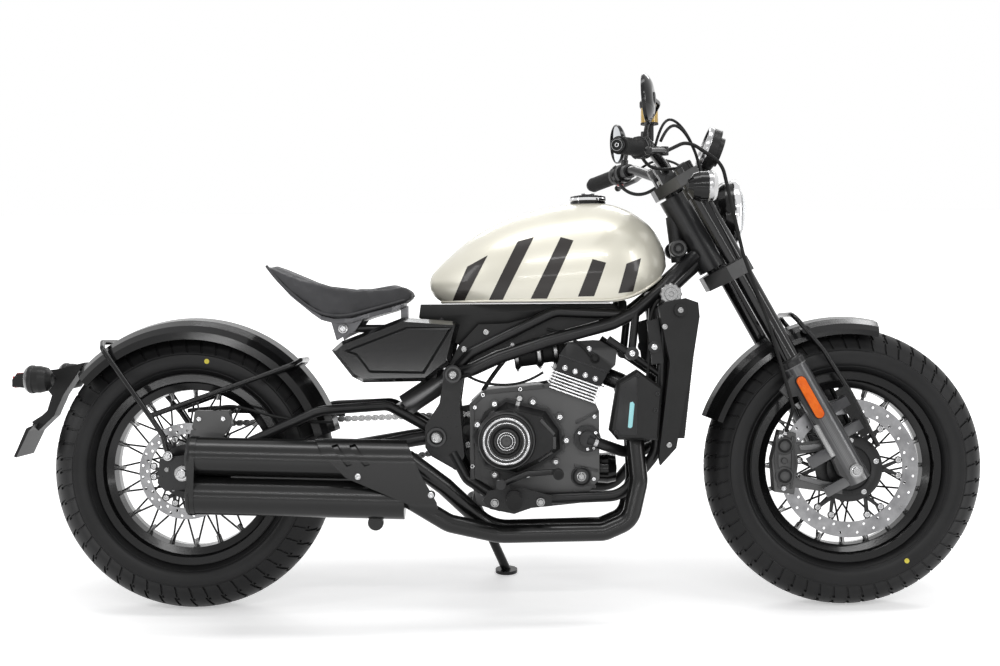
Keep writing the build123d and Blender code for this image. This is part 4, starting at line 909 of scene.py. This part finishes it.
def carrier(
    name, body, x, z, face, out, hub_bolts, hub_at, buttons, button_at, spread_angle, ring_in, ring_out,
    tip,
):
    """Black spider over the disc's arms, its bolts and its buttons."""
    spider = bmesh.new()
    turned(
        spider,
        [
            (ring_in, 0), (ring_in, out), (ring_in + 2, out + 1), (ring_out - 2, out + 1),
            (ring_out, out), (ring_out, 0),
        ],
        (x, face, z), RIGHT, 72,
    )
    for arm in range(buttons):
        for lean in (-spread_angle, spread_angle):
            root = math.radians(arm * 360 / buttons)
            end = root + math.radians(lean)
            first = Vector(round_about(x, face - out / 2, z, ring_out - 3, root))
            last = Vector(round_about(x, face - out / 2, z, tip, end))
            heading = (last - first).normalized()
            step = Vector((heading.z, 0, -heading.x))
            outline = [
                first + step * 5, first - step * 5, last - step * 3.2, last + heading * 3,
                last + step * 3.2,
            ]
            plate(spider, flat(outline), face + 0.1, face - out, 0.8)
            turned(spider, [(8.5, 0), (8.5, out), (7.5, out + 0.8), (0, out + 0.8)],
                   round_about(x, face, z, button_at, end), RIGHT, 20)
    finished(spider, f"{name}_carrier", body, SATIN_BLACK, 35)
    studs = bmesh.new()
    for arm in range(buttons):
        for lean in (-spread_angle, spread_angle):
            turn = math.radians(arm * 360 / buttons + lean)
            turned(
                studs,
                [
                    (6.2, out), (6.2, out + 1.4), (5.4, out + 1.9), (3.2, out + 1.9), (2.8, out + 0.9),
                    (0, out + 0.9),
                ],
                round_about(x, face, z, button_at, turn), RIGHT, 20,
            )
    for bolt in range(hub_bolts):
        turn = math.radians(bolt * 360 / hub_bolts + 14)
        socket_bolt(studs, round_about(x, face - out, z, hub_at, turn), RIGHT, 6.0, 2.6)
    finished(studs, f"{name}_buttons", body, BRIGHT, 35)


carrier("front_disc", "front_wheel", WHEELBASE, FRONT_Z, -70.0, 1.6, 5, 63, 6, 113, 9, 50, 76, 119)
carrier("rear_disc", "rear_wheel", 0.0, REAR_Z, -92.0, 1.2, 5, 50, 6, 76, 9, 42, 61, 82)

ring_piece(
    "front_disc_face", "front_wheel", SATIN_BLACK, "black_frame", 35,
    (
        [(12.4, 0), (12.4, 2.2), (30, 3.4), (52, 3.4), (60, 1.4), (66, 0.4)], (WHEELBASE, -66.0, FRONT_Z),
        RIGHT, 72,
    ),
)
ring_piece(
    "rear_disc_face", "rear_wheel", SATIN_BLACK, "black_frame", 35,
    ([(12.4, 0), (12.4, 1.6), (40, 3.0), (52, 3.0), (54, 0.2)], (0, -88.0, REAR_Z), RIGHT, 72),
)
hub = bmesh.new()
for sign in (-1, 1):
    turned(
        hub, [(30, 0), (34, 2), (46, 3), (48.5, 1), (48.5, -2)], (WHEELBASE, sign * 39, FRONT_Z),
        (0, sign, 0), 64,
    )
for sign in (-1, 1):
    for hole in range(20):
        turn = math.radians(hole * 18 + 9)
        socket_bolt(hub, round_about(WHEELBASE, sign * 39, FRONT_Z, 43, turn), (0, sign, 0), 2.6, 2.4)
finished(hub, "front_hub_flanges", "front_wheel", CAST_GREY, 35)
nipples = {"front_wheel": (WHEELBASE, FRONT_Z), "rear_wheel": (0.0, REAR_Z)}
for body, (x, z) in nipples.items():
    bm = bmesh.new()
    for place in range(20):
        turn = math.radians(place * 18)
        for side_y in (-9, 9):
            outer = round_about(x, side_y, z, 181, turn)
            inner = round_about(x, side_y * 1.25, z, 164, turn)
            stud(bm, outer, inner, 4.2, 8, 3.2)
    finished(bm, f"{body}_nipples", body, STEEL, 30)

for body, x, z, y in (("rear_wheel", 41, 568, 74.6), ("front_wheel", 1622, 107, 64.6)):
    ring_piece(
        f"{body}_paint_dot", body, YELLOW, "signal_lens", 40,
        ([(6, -1), (5.5, 1.0), (0, 1.4)], (x, -y, z), RIGHT, 20),
    )

# lamps, mirrors, gauge and bar details

ring_piece(
    "headlight_rim", "steering", CHROME, "chrome", 40,
    (
        [(70, -8), (77, -8), (78.5, -4), (78.5, 3), (76, 6.5), (72.5, 7), (70.5, 4), (70, -8)],
        (1244, 0, 901), (1, 0, 0), 96,
    ),
)
ring_piece(
    "headlight_reflector", "steering", CHROME, "chrome", 40,
    ([(68, -1), (60, -12), (46, -22), (28, -30), (13, -34), (0, -34)], BOWL, (1, 0, 0), 72),
)
ring_piece(
    "headlight_bulb", "steering", BRIGHT, "steel", 40,
    ([(12, -33), (12, -18), (10, -14), (4, -12), (0, -12)], BOWL, (1, 0, 0), 32),
    ([(34, -24), (34, -20), (37, -20), (37, -24)], BOWL, (1, 0, 0), 48),
)

for name, y, z, body, mouth, out, paint in (
    ("front_signal_lens_right", -190, 945, "steering", 1166, 1, AMBER),
    ("front_signal_lens_left", 190, 945, "steering", 1166, 1, AMBER),
    ("rear_signal_lens_right", -124, 531, "chassis", -340, -1, AMBER),
    ("rear_signal_lens_left", 124, 531, "chassis", -340, -1, AMBER),
):
    big = 33 if body == "steering" else 30
    ring_piece(
        name, body, SMOKE_CLEAR if body == "steering" else SMOKE, "signal_lens", 35,
        (
            [
                (big - 7, -1), (big - 0.2, -1), (big + 0.6, 2), (big - 3, 8), (big - 9, 11.2),
                (big - 18, 13), (0, 13.6),
            ],
            (mouth, y, z), (out, 0, 0), 56,
        ),
    )
    ring_piece(
        f"{name}_rim", body, BRIGHT if body == "steering" else SATIN_BLACK, "chrome", 35,
        (
            [(big + 0.2, -9), (big + 1.4, -8), (big + 1.8, -2), (big + 0.8, 1.5)], (mouth, y, z),
            (out, 0, 0), 56,
        ),
    )

lamp = bmesh.new()
for low, high in ((509, 520), (522, 532), (534, 543)):
    plate(lamp, [(-400, high), (-409.6, min(high, 528)), (-409.6, low + 2), (-402, low)], -39, 39, 0.8)
finished(lamp, "tail_lamp_lens", "chassis", RED, 35)
plate_light = bmesh.new()
plate(plate_light, [(-352, 444), (-374, 430), (-368, 422), (-346, 436)], -16, 16, 2.0)
finished(plate_light, "plate_lamp", "chassis", SATIN_BLACK, 35)
plate_blade = bmesh.new()
plate(plate_blade, [(-370, 420), (-401, 356), (-398, 354), (-366.5, 418)], -58, 58, 1.0)
finished(plate_blade, "plate_holder_rim", "chassis", SATIN_BLACK, 35)

mirror_out = Vector((math.cos(math.radians(13)), -math.sin(math.radians(13)), 0.06)).normalized()
for sign, word in ((-1, "right"), (1, "left")):
    centre = Vector((1005, sign * 360, 1110))
    out = Vector((-mirror_out.x, -mirror_out.y * (1 if sign < 0 else -1), -mirror_out.z))
    ring_piece(
        f"mirror_glass_{word}", "steering", MIRROR, "chrome", 40,
        ([(46, 0.2), (46, 0.8), (45, 1.3), (0, 1.3)], centre, out, 72),
    )
    ring_piece(
        f"mirror_rim_{word}", "steering", PAINT_BLACK, "gloss_black", 40,
        ([(46.2, 0), (46.2, 2.2), (48, 2.8), (49.6, 1.8), (50.2, -1), (50.1, -5)], centre, out, 72),
    )
    ring_piece(
        f"mirror_boss_{word}", "steering", SATIN_BLACK, "gloss_black", 40,
        ([(0, -21), (10, -21), (13, -18.4), (15, -16)], centre, out, 48),
    )

dial_out = Vector((-math.cos(math.radians(20)), 0, math.sin(math.radians(20))))
ring_piece(
    "gauge_glass", "steering", SMOKE, "gloss_black", 40,
    ([(0, 14.6), (43, 14.6), (44, 14.2)], GAUGE, dial_out, 72),
)
ring_piece(
    "gauge_rim", "steering", BRIGHT, "chrome", 40,
    (
        [(43.5, 14.4), (44, 17), (47, 17.6), (49.8, 16), (50.3, 12), (50.3, 8), (49.4, 6)], GAUGE,
        dial_out, 72,
    ),
)

GRIP_BEND = Vector((1032, -200, 1026))
grip_line = (Vector((946, -396, 1009)) - GRIP_BEND).normalized()
grip_inner = GRIP_BEND + grip_line * 88


def grip(sign):
    """Direction of a grip and the place of its inner end."""
    heading = Vector((grip_line.x, grip_line.y * -sign, grip_line.z))
    root = Vector((grip_inner.x, grip_inner.y * -sign, grip_inner.z))
    return heading, root


ribs = bmesh.new()
ends = bmesh.new()
for sign in (-1, 1):
    heading, root = grip(sign)
    profile = [(16.9, 1), (20.5, 1), (20.8, 4), (18.6, 7)]
    for rib in range(19):
        start = 10 + rib * 5.8
        profile += [(17.2, start), (18.4, start + 1), (18.4, start + 3.6), (17.2, start + 4.6)]
    profile += [(18.8, 122), (16.9, 123.8)]
    turned(ribs, profile, root, heading, 36)
    turned(
        ends, [(14.2, 126), (15.2, 127), (15.2, 134), (13, 136.4), (9, 136.6), (8, 135), (0, 135)], root,
        heading, 36,
    )
finished(ribs, "grip_ribs", "steering", RUBBER, 40)
finished(ends, "bar_end_caps", "steering", PAINT_BLACK, 40)
bright_ends = bmesh.new()
for sign in (-1, 1):
    heading, root = grip(sign)
    turned(bright_ends, [(9.6, 135.9), (9.8, 136.5), (11.8, 136.5), (12.2, 135.9)], root, heading, 36)
    socket_bolt(bright_ends, root + heading * 134.8, heading, 4.5, 2.6)
finished(bright_ends, "bar_end_rings", "steering", BRIGHT, 40)

perch = grip_inner - grip_line * 70.5
foot = perch + grip_line * 8
ring_piece(
    "reservoir_body", "steering", FLUID, "signal_lens", 40,
    ([(17.9, 53), (18.6, 55), (18.6, 88), (17.9, 90)], (foot.x + 6, foot.y, foot.z), (0, 0, 1), 40),
)
lid = bmesh.new()
turned(
    lid, [(17, 86), (20, 87), (20.4, 89), (20.4, 100), (19, 102.6), (8, 103.4), (0, 103.4)],
    (foot.x + 6, foot.y, foot.z), (0, 0, 1), 32,
)
sides = [face for face in lid.faces if 93 < face.calc_center_median().z - foot.z < 96]
bmesh.ops.inset_individual(lid, faces=sides, thickness=0.7, depth=-0.8, use_even_offset=True)
turned(lid, [(19.2, 51), (19.2, 54.5), (17, 55)], (foot.x + 6, foot.y, foot.z), (0, 0, 1), 32)
finished(lid, "reservoir_lid", "steering", PLASTIC, 40)

for sign, word in ((-1, "right"), (1, "left")):
    heading, root = grip(sign)
    box = bmesh.new()
    out = heading.cross(Vector((0, 0, 1))).normalized() * (1 if sign < 0 else -1)
    for start in (-12, -30):
        turned(box, [(23.2, -2), (24.2, -1), (24.2, 1), (23.2, 2)], root + heading * start, heading, 40)
    for lift in (0.0, 0.9, -0.9):
        push = (Matrix.Rotation(lift, 3, heading) @ out).normalized()
        for reach in (push, -push):
            turned(box, [(6, 20), (6, 25), (5, 26.4), (0, 26.4)], root + heading * -21, reach, 20)
    finished(box, f"switches_{word}", "steering", PLASTIC, 40)
red_button = bmesh.new()
heading, root = grip(1)
turned(red_button, [(8, -24), (8, -27), (6.5, -28.6), (0, -28.6)], root + heading * -21, (0, 0, 1), 24)
finished(red_button, "switch_button_red", "steering", RED, 40)

# cables and hoses

HOSES = (
    (
        "throttle_cable", 3.0, "steering",
        [
            (1040, -226, 1030), (1056, -212, 1088), (1086, -180, 1100), (1128, -140, 1056),
            (1150, -112, 1002), (1164, -90, 940), (1176, -84, 880), (1196, -80, 822), (1210, -78, 784),
        ],
    ),
    (
        "brake_hose_upper", 3.4, "steering",
        [
            (1052, -220, 1040), (1070, -200, 1078), (1098, -172, 1086), (1134, -130, 1044),
            (1156, -104, 990), (1172, -80, 930), (1180, -72, 870), (1204, -70, 812), (1216, -70, 780),
        ],
    ),
    (
        "clutch_cable", 3.0, "steering",
        [
            (1040, 226, 1020), (1060, 196, 1040), (1100, 150, 1052), (1150, 110, 1020), (1176, 84, 960),
            (1180, 80, 890), (1200, 78, 826), (1212, 76, 784),
        ],
    ),
    (
        "wiring_left", 4.2, "steering",
        [
            (1000, 244, 1000), (1006, 220, 982), (1030, 190, 962), (1062, 150, 962), (1092, 110, 982),
            (1116, 74, 1000), (1130, 50, 990),
        ],
    ),
    (
        "wiring_right", 3.6, "steering",
        [
            (1010, -236, 1004), (1024, -206, 988), (1050, -170, 984), (1086, -120, 992), (1116, -78, 998),
            (1130, -52, 988),
        ],
    ),
    (
        "rear_brake_hose", 3.0, "chassis",
        [(60, -92, 458), (90, -100, 478), (160, -112, 452), (260, -112, 430), (330, -110, 432)],
    ),
    (
        "overflow_hose", 3.6, "chassis",
        [(1058, -120, 700), (1040, -118, 684), (1034, -116, 620), (1036, -118, 560), (1030, -120, 524)],
    ),
    (
        "breather_hose", 5.0, "chassis",
        [
            (868, -60, 616), (840, -70, 640), (790, -72, 640), (740, -74, 600), (690, -70, 540),
            (664, -66, 498),
        ],
    ),
    (
        "plug_lead", 3.4, "chassis",
        [(905, -112, 575), (890, -116, 604), (850, -110, 626), (810, -96, 636)],
    ),
    (
        "side_wiring", 3.0, "chassis",
        [(590, -92, 560), (640, -96, 520), (700, -98, 508), (760, -98, 514), (800, -98, 540)],
    ),
)
for name, radius, body, points in HOSES:
    hose(name, points, radius, body, RUBBER)

# panel under the tank, pivot bosses and the covers' trim

panel = bmesh.new()
for sign in (-1, 1):
    plate(
        panel,
        [
            (524, 694), (960, 694), (985, 672), (960, 652), (820, 676), (722, 640), (655, 648),
            (612, 600), (560, 640), (520, 664),
        ],
        sign * 62, sign * 67, 1.5,
    )
finished(panel, "under_tank_cover", "chassis", PLASTIC, 35)

bosses = bmesh.new()
for node, x, z, radius in (("frame", 598, 536, 19), ("frame", 560, 395, 22)):
    for sign in (-1, 1):
        y = face_y(node, x, z, sign) - sign * 0.5
        turned(
            bosses, [(radius - 7, 0.6), (radius - 6, 3), (radius - 1, 3.6), (radius, 2), (radius, 0)],
            (x, y, z), (0, sign, 0), 40,
        )
finished(bosses, "pivot_bosses", "chassis", CAST_BLACK, 35)
pins = bmesh.new()
for node, x, z, radius in (("frame", 598, 536, 9), ("frame", 560, 395, 12)):
    for sign in (-1, 1):
        y = face_y(node, x, z, sign) - sign * 0.5
        turned(
            pins,
            [
                (0, 1.6), (radius * 0.5, 1.8), (radius * 0.55, 0.9), (radius * 0.8, 0.9), (radius, 2.4),
                (radius, 0),
            ],
            (x, y, z), (0, sign, 0), 32,
        )
finished(pins, "pivot_pins", "chassis", STEEL, 35)

head_boss = bmesh.new()
for sign in (-1, 1):
    turned(
        head_boss, [(0, 4), (7, 4), (8, 1.5), (11, 1.5), (12, 6), (17, 6), (20, 2), (20, -16)],
        (1110, sign * 52, 818), (0, sign, 0), 40,
    )
finished(head_boss, "head_bosses", "chassis", CAST_BLACK, 35)

# exhaust mouths
mouths = bmesh.new()
back = Vector((-470, 0, 14)).normalized()
for z in (365, 281):
    end = Vector((30, -200, z))
    turned(
        mouths,
        [(24.5, -40), (25.5, 0), (26, 3.4), (30, 4.6), (40, 4.2), (43.4, 1.5), (44.8, -3), (44.8, -5)],
        end, back, 64,
    )
    turned(mouths, [(14, -40), (14, -6), (15.5, -5), (17, -6), (17, -40)], end, back, 48)
finished(mouths, "muffler_mouths", "chassis", SATIN_BLACK, 35)

# peg rubbers and pedal toe rubbers
rubbers = bmesh.new()
for sign in (-1, 1):
    profile = [(14.8, 0)]
    for rib in range(8):
        start = 4 + rib * 9.6
        profile += [(15.4, start), (17.2, start + 1.5), (17.2, start + 6.5), (15.4, start + 8)]
    profile += [(16, 83), (17, 86.4), (10, 87.4), (0, 87.6)]
    turned(rubbers, profile, (732, sign * 203.5, 270), (0, sign, 0), 32)
    profile = [(10, 1)]
    for rib in range(4):
        start = 3 + rib * 7.4
        profile += [(10.4, start), (11.8, start + 1), (11.8, start + 5), (10.4, start + 6)]
    profile += [(11, 33.4), (7, 35), (0, 35)]
    turned(rubbers, profile, (826, sign * 238, 327), (0, sign, 0), 28)
finished(rubbers, "peg_rubbers", "chassis", RUBBER, 40)

# more of the engine: intake, ribs and lines on the cases

intake = bmesh.new()
for sign in (-1, 1):
    root = BARREL @ Vector((-54, sign * 44, 92))
    back = Vector((-1, 0, -0.12)).normalized()
    turned(
        intake,
        [
            (0, -6), (27, -6), (27, 8), (30, 10), (30, 22), (27, 24), (27, 44), (33, 48), (33, 60),
            (29, 62), (29, 96), (33, 100), (33, 110), (0, 110),
        ],
        root, back, 40,
    )
finished(intake, "intake_bodies", "chassis", RUBBER, 35)
bands = bmesh.new()
for sign in (-1, 1):
    root = BARREL @ Vector((-54, sign * 44, 92))
    back = Vector((-1, 0, -0.12)).normalized()
    for along in (16, 54, 105):
        clamp(bands, root + back * along, back, 33.2 if along > 20 else 30.2, 7)
finished(bands, "intake_bands", "chassis", STEEL, 30)

CASE_LINE = ((640, 304), (640, 468), (670, 496), (800, 508), (832, 514), (858, 500))
ledge = bmesh.new()
for sign in (-1, 1):
    for start, stop in zip(CASE_LINE, CASE_LINE[1:]):
        rib_bar(ledge, start, stop, 5, sign * 93, sign * 99, 2.0, 4)
    for x0, z0, x1, z1 in (
        (868, 300, 916, 282), (868, 330, 922, 318), (872, 426, 922, 452), (866, 272, 906, 262),
    ):
        rib_bar(ledge, (x0, z0), (x1, z1), 3, sign * 93, sign * 99.5, 1.5)
turned(ledge, [(0, 10), (16, 10), (20, 7), (22, 7), (23, 4), (23, 0)], (884, -94, 306), RIGHT, 40)
turned(ledge, [(0, 9), (12, 9), (15, 6), (15, 0)], (690, -108, 440), RIGHT, 32)
finished(ledge, "case_ribs", "chassis", CAST_BLACK, 35)

plugs = bmesh.new()
hex_bolt(plugs, (884, -103.5, 306), RIGHT, 8, 6)
socket_bolt(plugs, (690, -116.5, 440), RIGHT, 8, 6)
hex_bolt(plugs, (664, -94, 274), RIGHT, 8, 8)
finished(plugs, "case_plugs", "chassis", STEEL, 30)

# clutch arm on top of the case and the stop of its cable
arm = bmesh.new()
plate(arm, [(742, 486), (752, 488), (742, 452), (728, 440), (724, 448), (734, 458)], -110, -114, 1.0)
turned(arm, [(0, 9), (6, 9), (7.5, 7), (7.5, 0)], (746, -110, 482), RIGHT, 24)
turned(arm, [(0, 8), (5, 8), (6, 6), (6, 0)], (727, -110, 444), RIGHT, 24)
finished(arm, "clutch_arm", "chassis", STEEL, 30)

# ribs on the clutch dome
dome = bmesh.new()
for x0, z0, x1, z1 in ((792, 436, 822, 404), (822, 398, 822, 372), (818, 364, 786, 344)):
    y = min(face_y("engine_covers", x0, z0), face_y("engine_covers", x1, z1))
    rib_bar(dome, (x0, z0), (x1, z1), 3.2, y + 3, y - 2.2, 1.2)
finished(dome, "clutch_dome_ribs", "chassis", CAST_BLACK, 35)

# front caliper: piston covers, bridges, centre pin and hose union
caliper = bmesh.new()
for z in (372, 304):
    turned(
        caliper, [(21, -2), (21, 5), (19, 7.5), (16, 8.5), (15, 6.5), (12, 6.5), (11, 9), (0, 9)],
        (1340, -91, z), RIGHT, 40,
    )
plate(
    caliper, [(1322, 395), (1330, 398), (1326, 338), (1334, 276), (1326, 276), (1316, 338)], -91, -97,
    2.0,
)
plate(
    caliper, [(1356, 392), (1362, 392), (1366, 338), (1358, 276), (1352, 276), (1356, 338)], -91, -97,
    2.0,
)
turned(caliper, [(7, -2), (7, 6), (5.5, 7.5), (0, 7.5)], (1340, -91, 338), RIGHT, 24)
finished(caliper, "caliper_covers", "steering", CAST_BLACK, 35)
union = bmesh.new()
hex_bolt(union, (1342, -89, 398), Vector((0.1, -0.2, 1)), 6, 12)
finished(union, "caliper_union", "steering", BRIGHT, 30)

# webs between the slider and the caliper arms
webs = bmesh.new()
plate(webs, [(1372, 372), (1440, 380), (1452, 372), (1442, 360), (1376, 362)], -92.5, -97, 1.5)
plate(webs, [(1372, 296), (1440, 278), (1466, 276), (1464, 286), (1430, 292), (1376, 306)], -92.5, -97, 1.5)
finished(webs, "caliper_arm_ribs", "steering", CAST_GREY, 35)

# rear wheel and swing arm trim
adjusters = bmesh.new()
for sign in (-1, 1):
    y = face_y("swingarm", -36, 330, sign)
    turned(adjusters, [(0, 5), (4, 5), (5.5, 3.5), (5.5, 0)], (-36, y - sign, 330), (0, sign, 0), 20)
finished(adjusters, "axle_adjusters", "chassis", STEEL, 30)

# sprocket teeth and nuts on the left
teeth = bmesh.new()
for tooth in range(44):
    turn = 2 * math.pi * tooth / 44
    middle = Matrix.Translation(round_about(0, 104, REAR_Z, 86, turn))
    heading = facing((math.cos(turn), 0, math.sin(turn)))
    bmesh.ops.create_cone(
        teeth, cap_ends=True, segments=6, radius1=6.0, radius2=3.0, depth=12,
        matrix=middle @ heading @ Matrix.Diagonal((1, 0.55, 1, 1)),
    )
finished(teeth, "sprocket_teeth", "rear_wheel", STEEL, 30)
nuts = bmesh.new()
for bolt in range(6):
    turn = math.radians(bolt * 60 + 12)
    hex_bolt(nuts, round_about(0, 106.6, REAR_Z, 62, turn), LEFT, 6, 6)
finished(nuts, "sprocket_nuts", "rear_wheel", BRIGHT, 30)

# seat cushion: leather pulled over foam, blown up a little from a slimmer form

def cushion():
    """Padded seat inside the CAD seat's space."""
    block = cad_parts["seat"]
    space = BVHTree.FromObject(block, bpy.context.evaluated_depsgraph_get())
    bm = bmesh.new()
    bm.from_mesh(block.data)
    bmesh.ops.remove_doubles(bm, verts=bm.verts, dist=0.00002)
    bmesh.ops.recalc_face_normals(bm, faces=bm.faces)
    mesh = bpy.data.meshes.new("seat_cushion")
    bm.to_mesh(mesh)
    bm.free()
    made = bpy.data.objects.new("seat_cushion", mesh)
    bpy.context.scene.collection.objects.link(made)
    made.modifiers.new("remesh", "REMESH").voxel_size = 0.0055
    graph = bpy.context.evaluated_depsgraph_get()
    made.data = bpy.data.meshes.new_from_object(made.evaluated_get(graph))
    made.modifiers.clear()
    bm = bmesh.new()
    bm.from_mesh(made.data)
    for _ in range(6):
        bmesh.ops.smooth_vert(
            bm, verts=bm.verts, factor=0.5, use_axis_x=True, use_axis_y=True, use_axis_z=True,
        )
    bm.normal_update()
    for vert in bm.verts:
        vert.co -= vert.normal * 0.003
    bm.to_mesh(made.data)
    bm.free()
    start = [vert.co.copy() for vert in made.data.vertices]
    cloth = made.modifiers.new("cloth", "CLOTH")
    cloth.settings.quality = 5
    cloth.settings.mass = 0.4
    cloth.settings.tension_stiffness = 30
    cloth.settings.compression_stiffness = 30
    cloth.settings.bending_stiffness = 4
    cloth.settings.use_pressure = True
    cloth.settings.uniform_pressure_force = 4
    cloth.settings.effector_weights.gravity = 0
    for step in range(1, 21):
        bpy.context.scene.frame_set(step)
    graph = bpy.context.evaluated_depsgraph_get()
    made.data = bpy.data.meshes.new_from_object(made.evaluated_get(graph))
    made.modifiers.clear()
    bpy.context.scene.frame_set(1)
    for vert, before in zip(made.data.vertices, start):
        move = vert.co - before
        if move.length > 0.006:
            vert.co = before + move.normalized() * 0.006
        near, normal, _, _ = space.find_nearest(vert.co)
        if (vert.co - near).dot(normal) > -0.0004:
            vert.co = near - normal * 0.0004
    # stitched channels across the top and a rolled welt above the lower edge
    inverse = UPRIGHT.inverted()
    for vert in made.data.vertices:
        place = inverse @ vert.co
        near, normal, _, _ = space.find_nearest(vert.co)
        if way(0, 0, 1).dot(normal) > 0.35 and place.x < 486:
            for line in (262, 318, 374):
                gap = abs(place.x - line - 0.0009 * place.y * place.y)
                if gap < 9 and abs(place.y) < 118:
                    depth = 0.0026 * (1 - gap / 9) ** 1.5 * min(1.0, (118 - abs(place.y)) / 20)
                    vert.co -= normal * depth
    made.data.materials.clear()
    made.data.materials.append(LEATHER)
    for face in made.data.polygons:
        face.use_smooth = True
    soft = made.modifiers.new("soft", "SUBSURF")
    soft.levels = 1
    soft.render_levels = 1
    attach(made, "chassis")
    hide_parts("seat")
    return made


cushion()

SEAT_EDGE = (
    (513, 712), (489, 700), (463, 691), (412, 677), (373, 664), (335, 663), (309, 670), (283, 684),
    (257, 705), (232, 725), (206, 751), (184, 776),
)
SEAT_HALF = (
    (513, 0), (505, 52), (470, 78), (420, 100), (370, 142), (310, 166), (240, 158), (190, 122), (171, 70),
)


def seat_half(x):
    """Half width of the seat at a place along it."""
    for (x0, y0), (x1, y1) in zip(SEAT_HALF, SEAT_HALF[1:]):
        if x1 <= x <= x0:
            return y0 + (y1 - y0) * (x0 - x) / (x0 - x1)
    return 0.0


for sign, word in ((-1, "right"), (1, "left")):
    welt = [(x - 2, sign * (seat_half(x) - 3.2), z + 4.5) for x, z in SEAT_EDGE if seat_half(x) > 20]
    hose(f"seat_welt_{word}", welt, 3.4, "chassis", LEATHER)

# camera, square to the leaning motorcycle's right side

CAMERA_AWAY = 3.3
AIM = (703.4, 0.0, 628.3)
ROLL = 0.0056
side = way(0, -1, 0)
right = (way(1, 0, 0) - way(0, 0, 1) * ROLL).normalized()
up = side.cross(right)
camera_data = bpy.data.cameras.new("camera")
camera_data.sensor_width = 36.0
camera_data.lens = 36.0 * CAMERA_AWAY / 2.31
camera = bpy.data.objects.new("camera", camera_data)
bpy.context.scene.collection.objects.link(camera)
place = Matrix((right, up, side)).transposed().to_4x4()
place.translation = at(*AIM) + side * CAMERA_AWAY
camera.matrix_world = place
bpy.context.scene.camera = camera

# studio: pale floor, soft boxes, white surroundings


def area_light(name, where, towards, width, height, power):
    """Rectangular soft light aimed at a point."""
    data = bpy.data.lights.new(name, "AREA")
    data.shape = "RECTANGLE"
    data.size = width
    data.size_y = height
    data.energy = power
    lamp = bpy.data.objects.new(name, data)
    bpy.context.scene.collection.objects.link(lamp)
    lamp.location = where
    lamp.rotation_euler = (Vector(towards) - Vector(where)).to_track_quat("-Z", "Y").to_euler()
    return lamp


area_light("light_top", (0.0, -0.3, 3.2), (0, 0, 0.4), 3.6, 0.6, 50)
area_light("light_strip", (0.2, -3.6, 3.0), (0, 0, 0.5), 3.6, 0.18, 40)
area_light("light_low", (-0.2, -4.4, 1.0), (0, 0, 0.5), 3.6, 0.12, 16)
area_light("light_back", (0.4, 2.6, 2.4), (0, 0, 0.8), 3.4, 0.4, 30)
area_light("light_left", (-3.2, -1.4, 1.6), (0, 0, 0.5), 0.3, 1.8, 16)
area_light("light_right", (3.2, -1.6, 1.6), (0, 0, 0.5), 0.3, 1.8, 18)

def seen_ray(tree):
    """1 for rays that see a thing straight, in a mirror or through glass."""
    path = tree.nodes.new("ShaderNodeLightPath")
    total = path.outputs["Is Camera Ray"]
    for ray in ("Is Glossy Ray", "Is Transmission Ray"):
        either = tree.nodes.new("ShaderNodeMath")
        either.operation = "MAXIMUM"
        tree.links.new(total, either.inputs[0])
        tree.links.new(path.outputs[ray], either.inputs[1])
        total = either.outputs["Value"]
    return total


world = bpy.data.worlds.new("studio")
bpy.context.scene.world = world
world.use_nodes = True
tree = world.node_tree
tree.nodes.clear()
output = tree.nodes.new("ShaderNodeOutputWorld")
seen = tree.nodes.new("ShaderNodeBackground")
seen.inputs["Color"].default_value = (1, 1, 1, 1)
lit = tree.nodes.new("ShaderNodeBackground")
lit.inputs["Color"].default_value = (0.3, 0.3, 0.305, 1)
blend = tree.nodes.new("ShaderNodeMixShader")
tree.links.new(seen_ray(tree), blend.inputs["Fac"])
tree.links.new(lit.outputs["Background"], blend.inputs[1])
tree.links.new(seen.outputs["Background"], blend.inputs[2])
tree.links.new(blend.outputs["Shader"], output.inputs["Surface"])
bpy.context.scene.view_settings.view_transform = "Standard"

floor_mesh = bmesh.new()
bmesh.ops.create_grid(floor_mesh, x_segments=1, y_segments=1, size=12.0)
floor_data = bpy.data.meshes.new("floor")
floor_mesh.to_mesh(floor_data)
floor_mesh.free()
floor = bpy.data.objects.new("floor", floor_data)
bpy.context.scene.collection.objects.link(floor)
floor_paint, tree, shader, coords = material("floor_white")
shader.inputs["Base Color"].default_value = (0.86, 0.86, 0.86, 1)
tone = noise(tree, coords, 3.0)
tree.links.new(spread(tree, tone, 0.55, 0.65), shader.inputs["Roughness"])
length = tree.nodes.new("ShaderNodeVectorMath")
length.operation = "LENGTH"
tree.links.new(coords, length.inputs[0])
glow = spread(tree, length.outputs["Value"], 0.42, 1.0, 0.9, 2.4)
shown = tree.nodes.new("ShaderNodeMath")
shown.operation = "MULTIPLY"
tree.links.new(glow, shown.inputs[0])
tree.links.new(seen_ray(tree), shown.inputs[1])
shader.inputs["Emission Color"].default_value = (1, 1, 1, 1)
tree.links.new(shown.outputs["Value"], shader.inputs["Emission Strength"])
floor_data.materials.append(floor_paint)
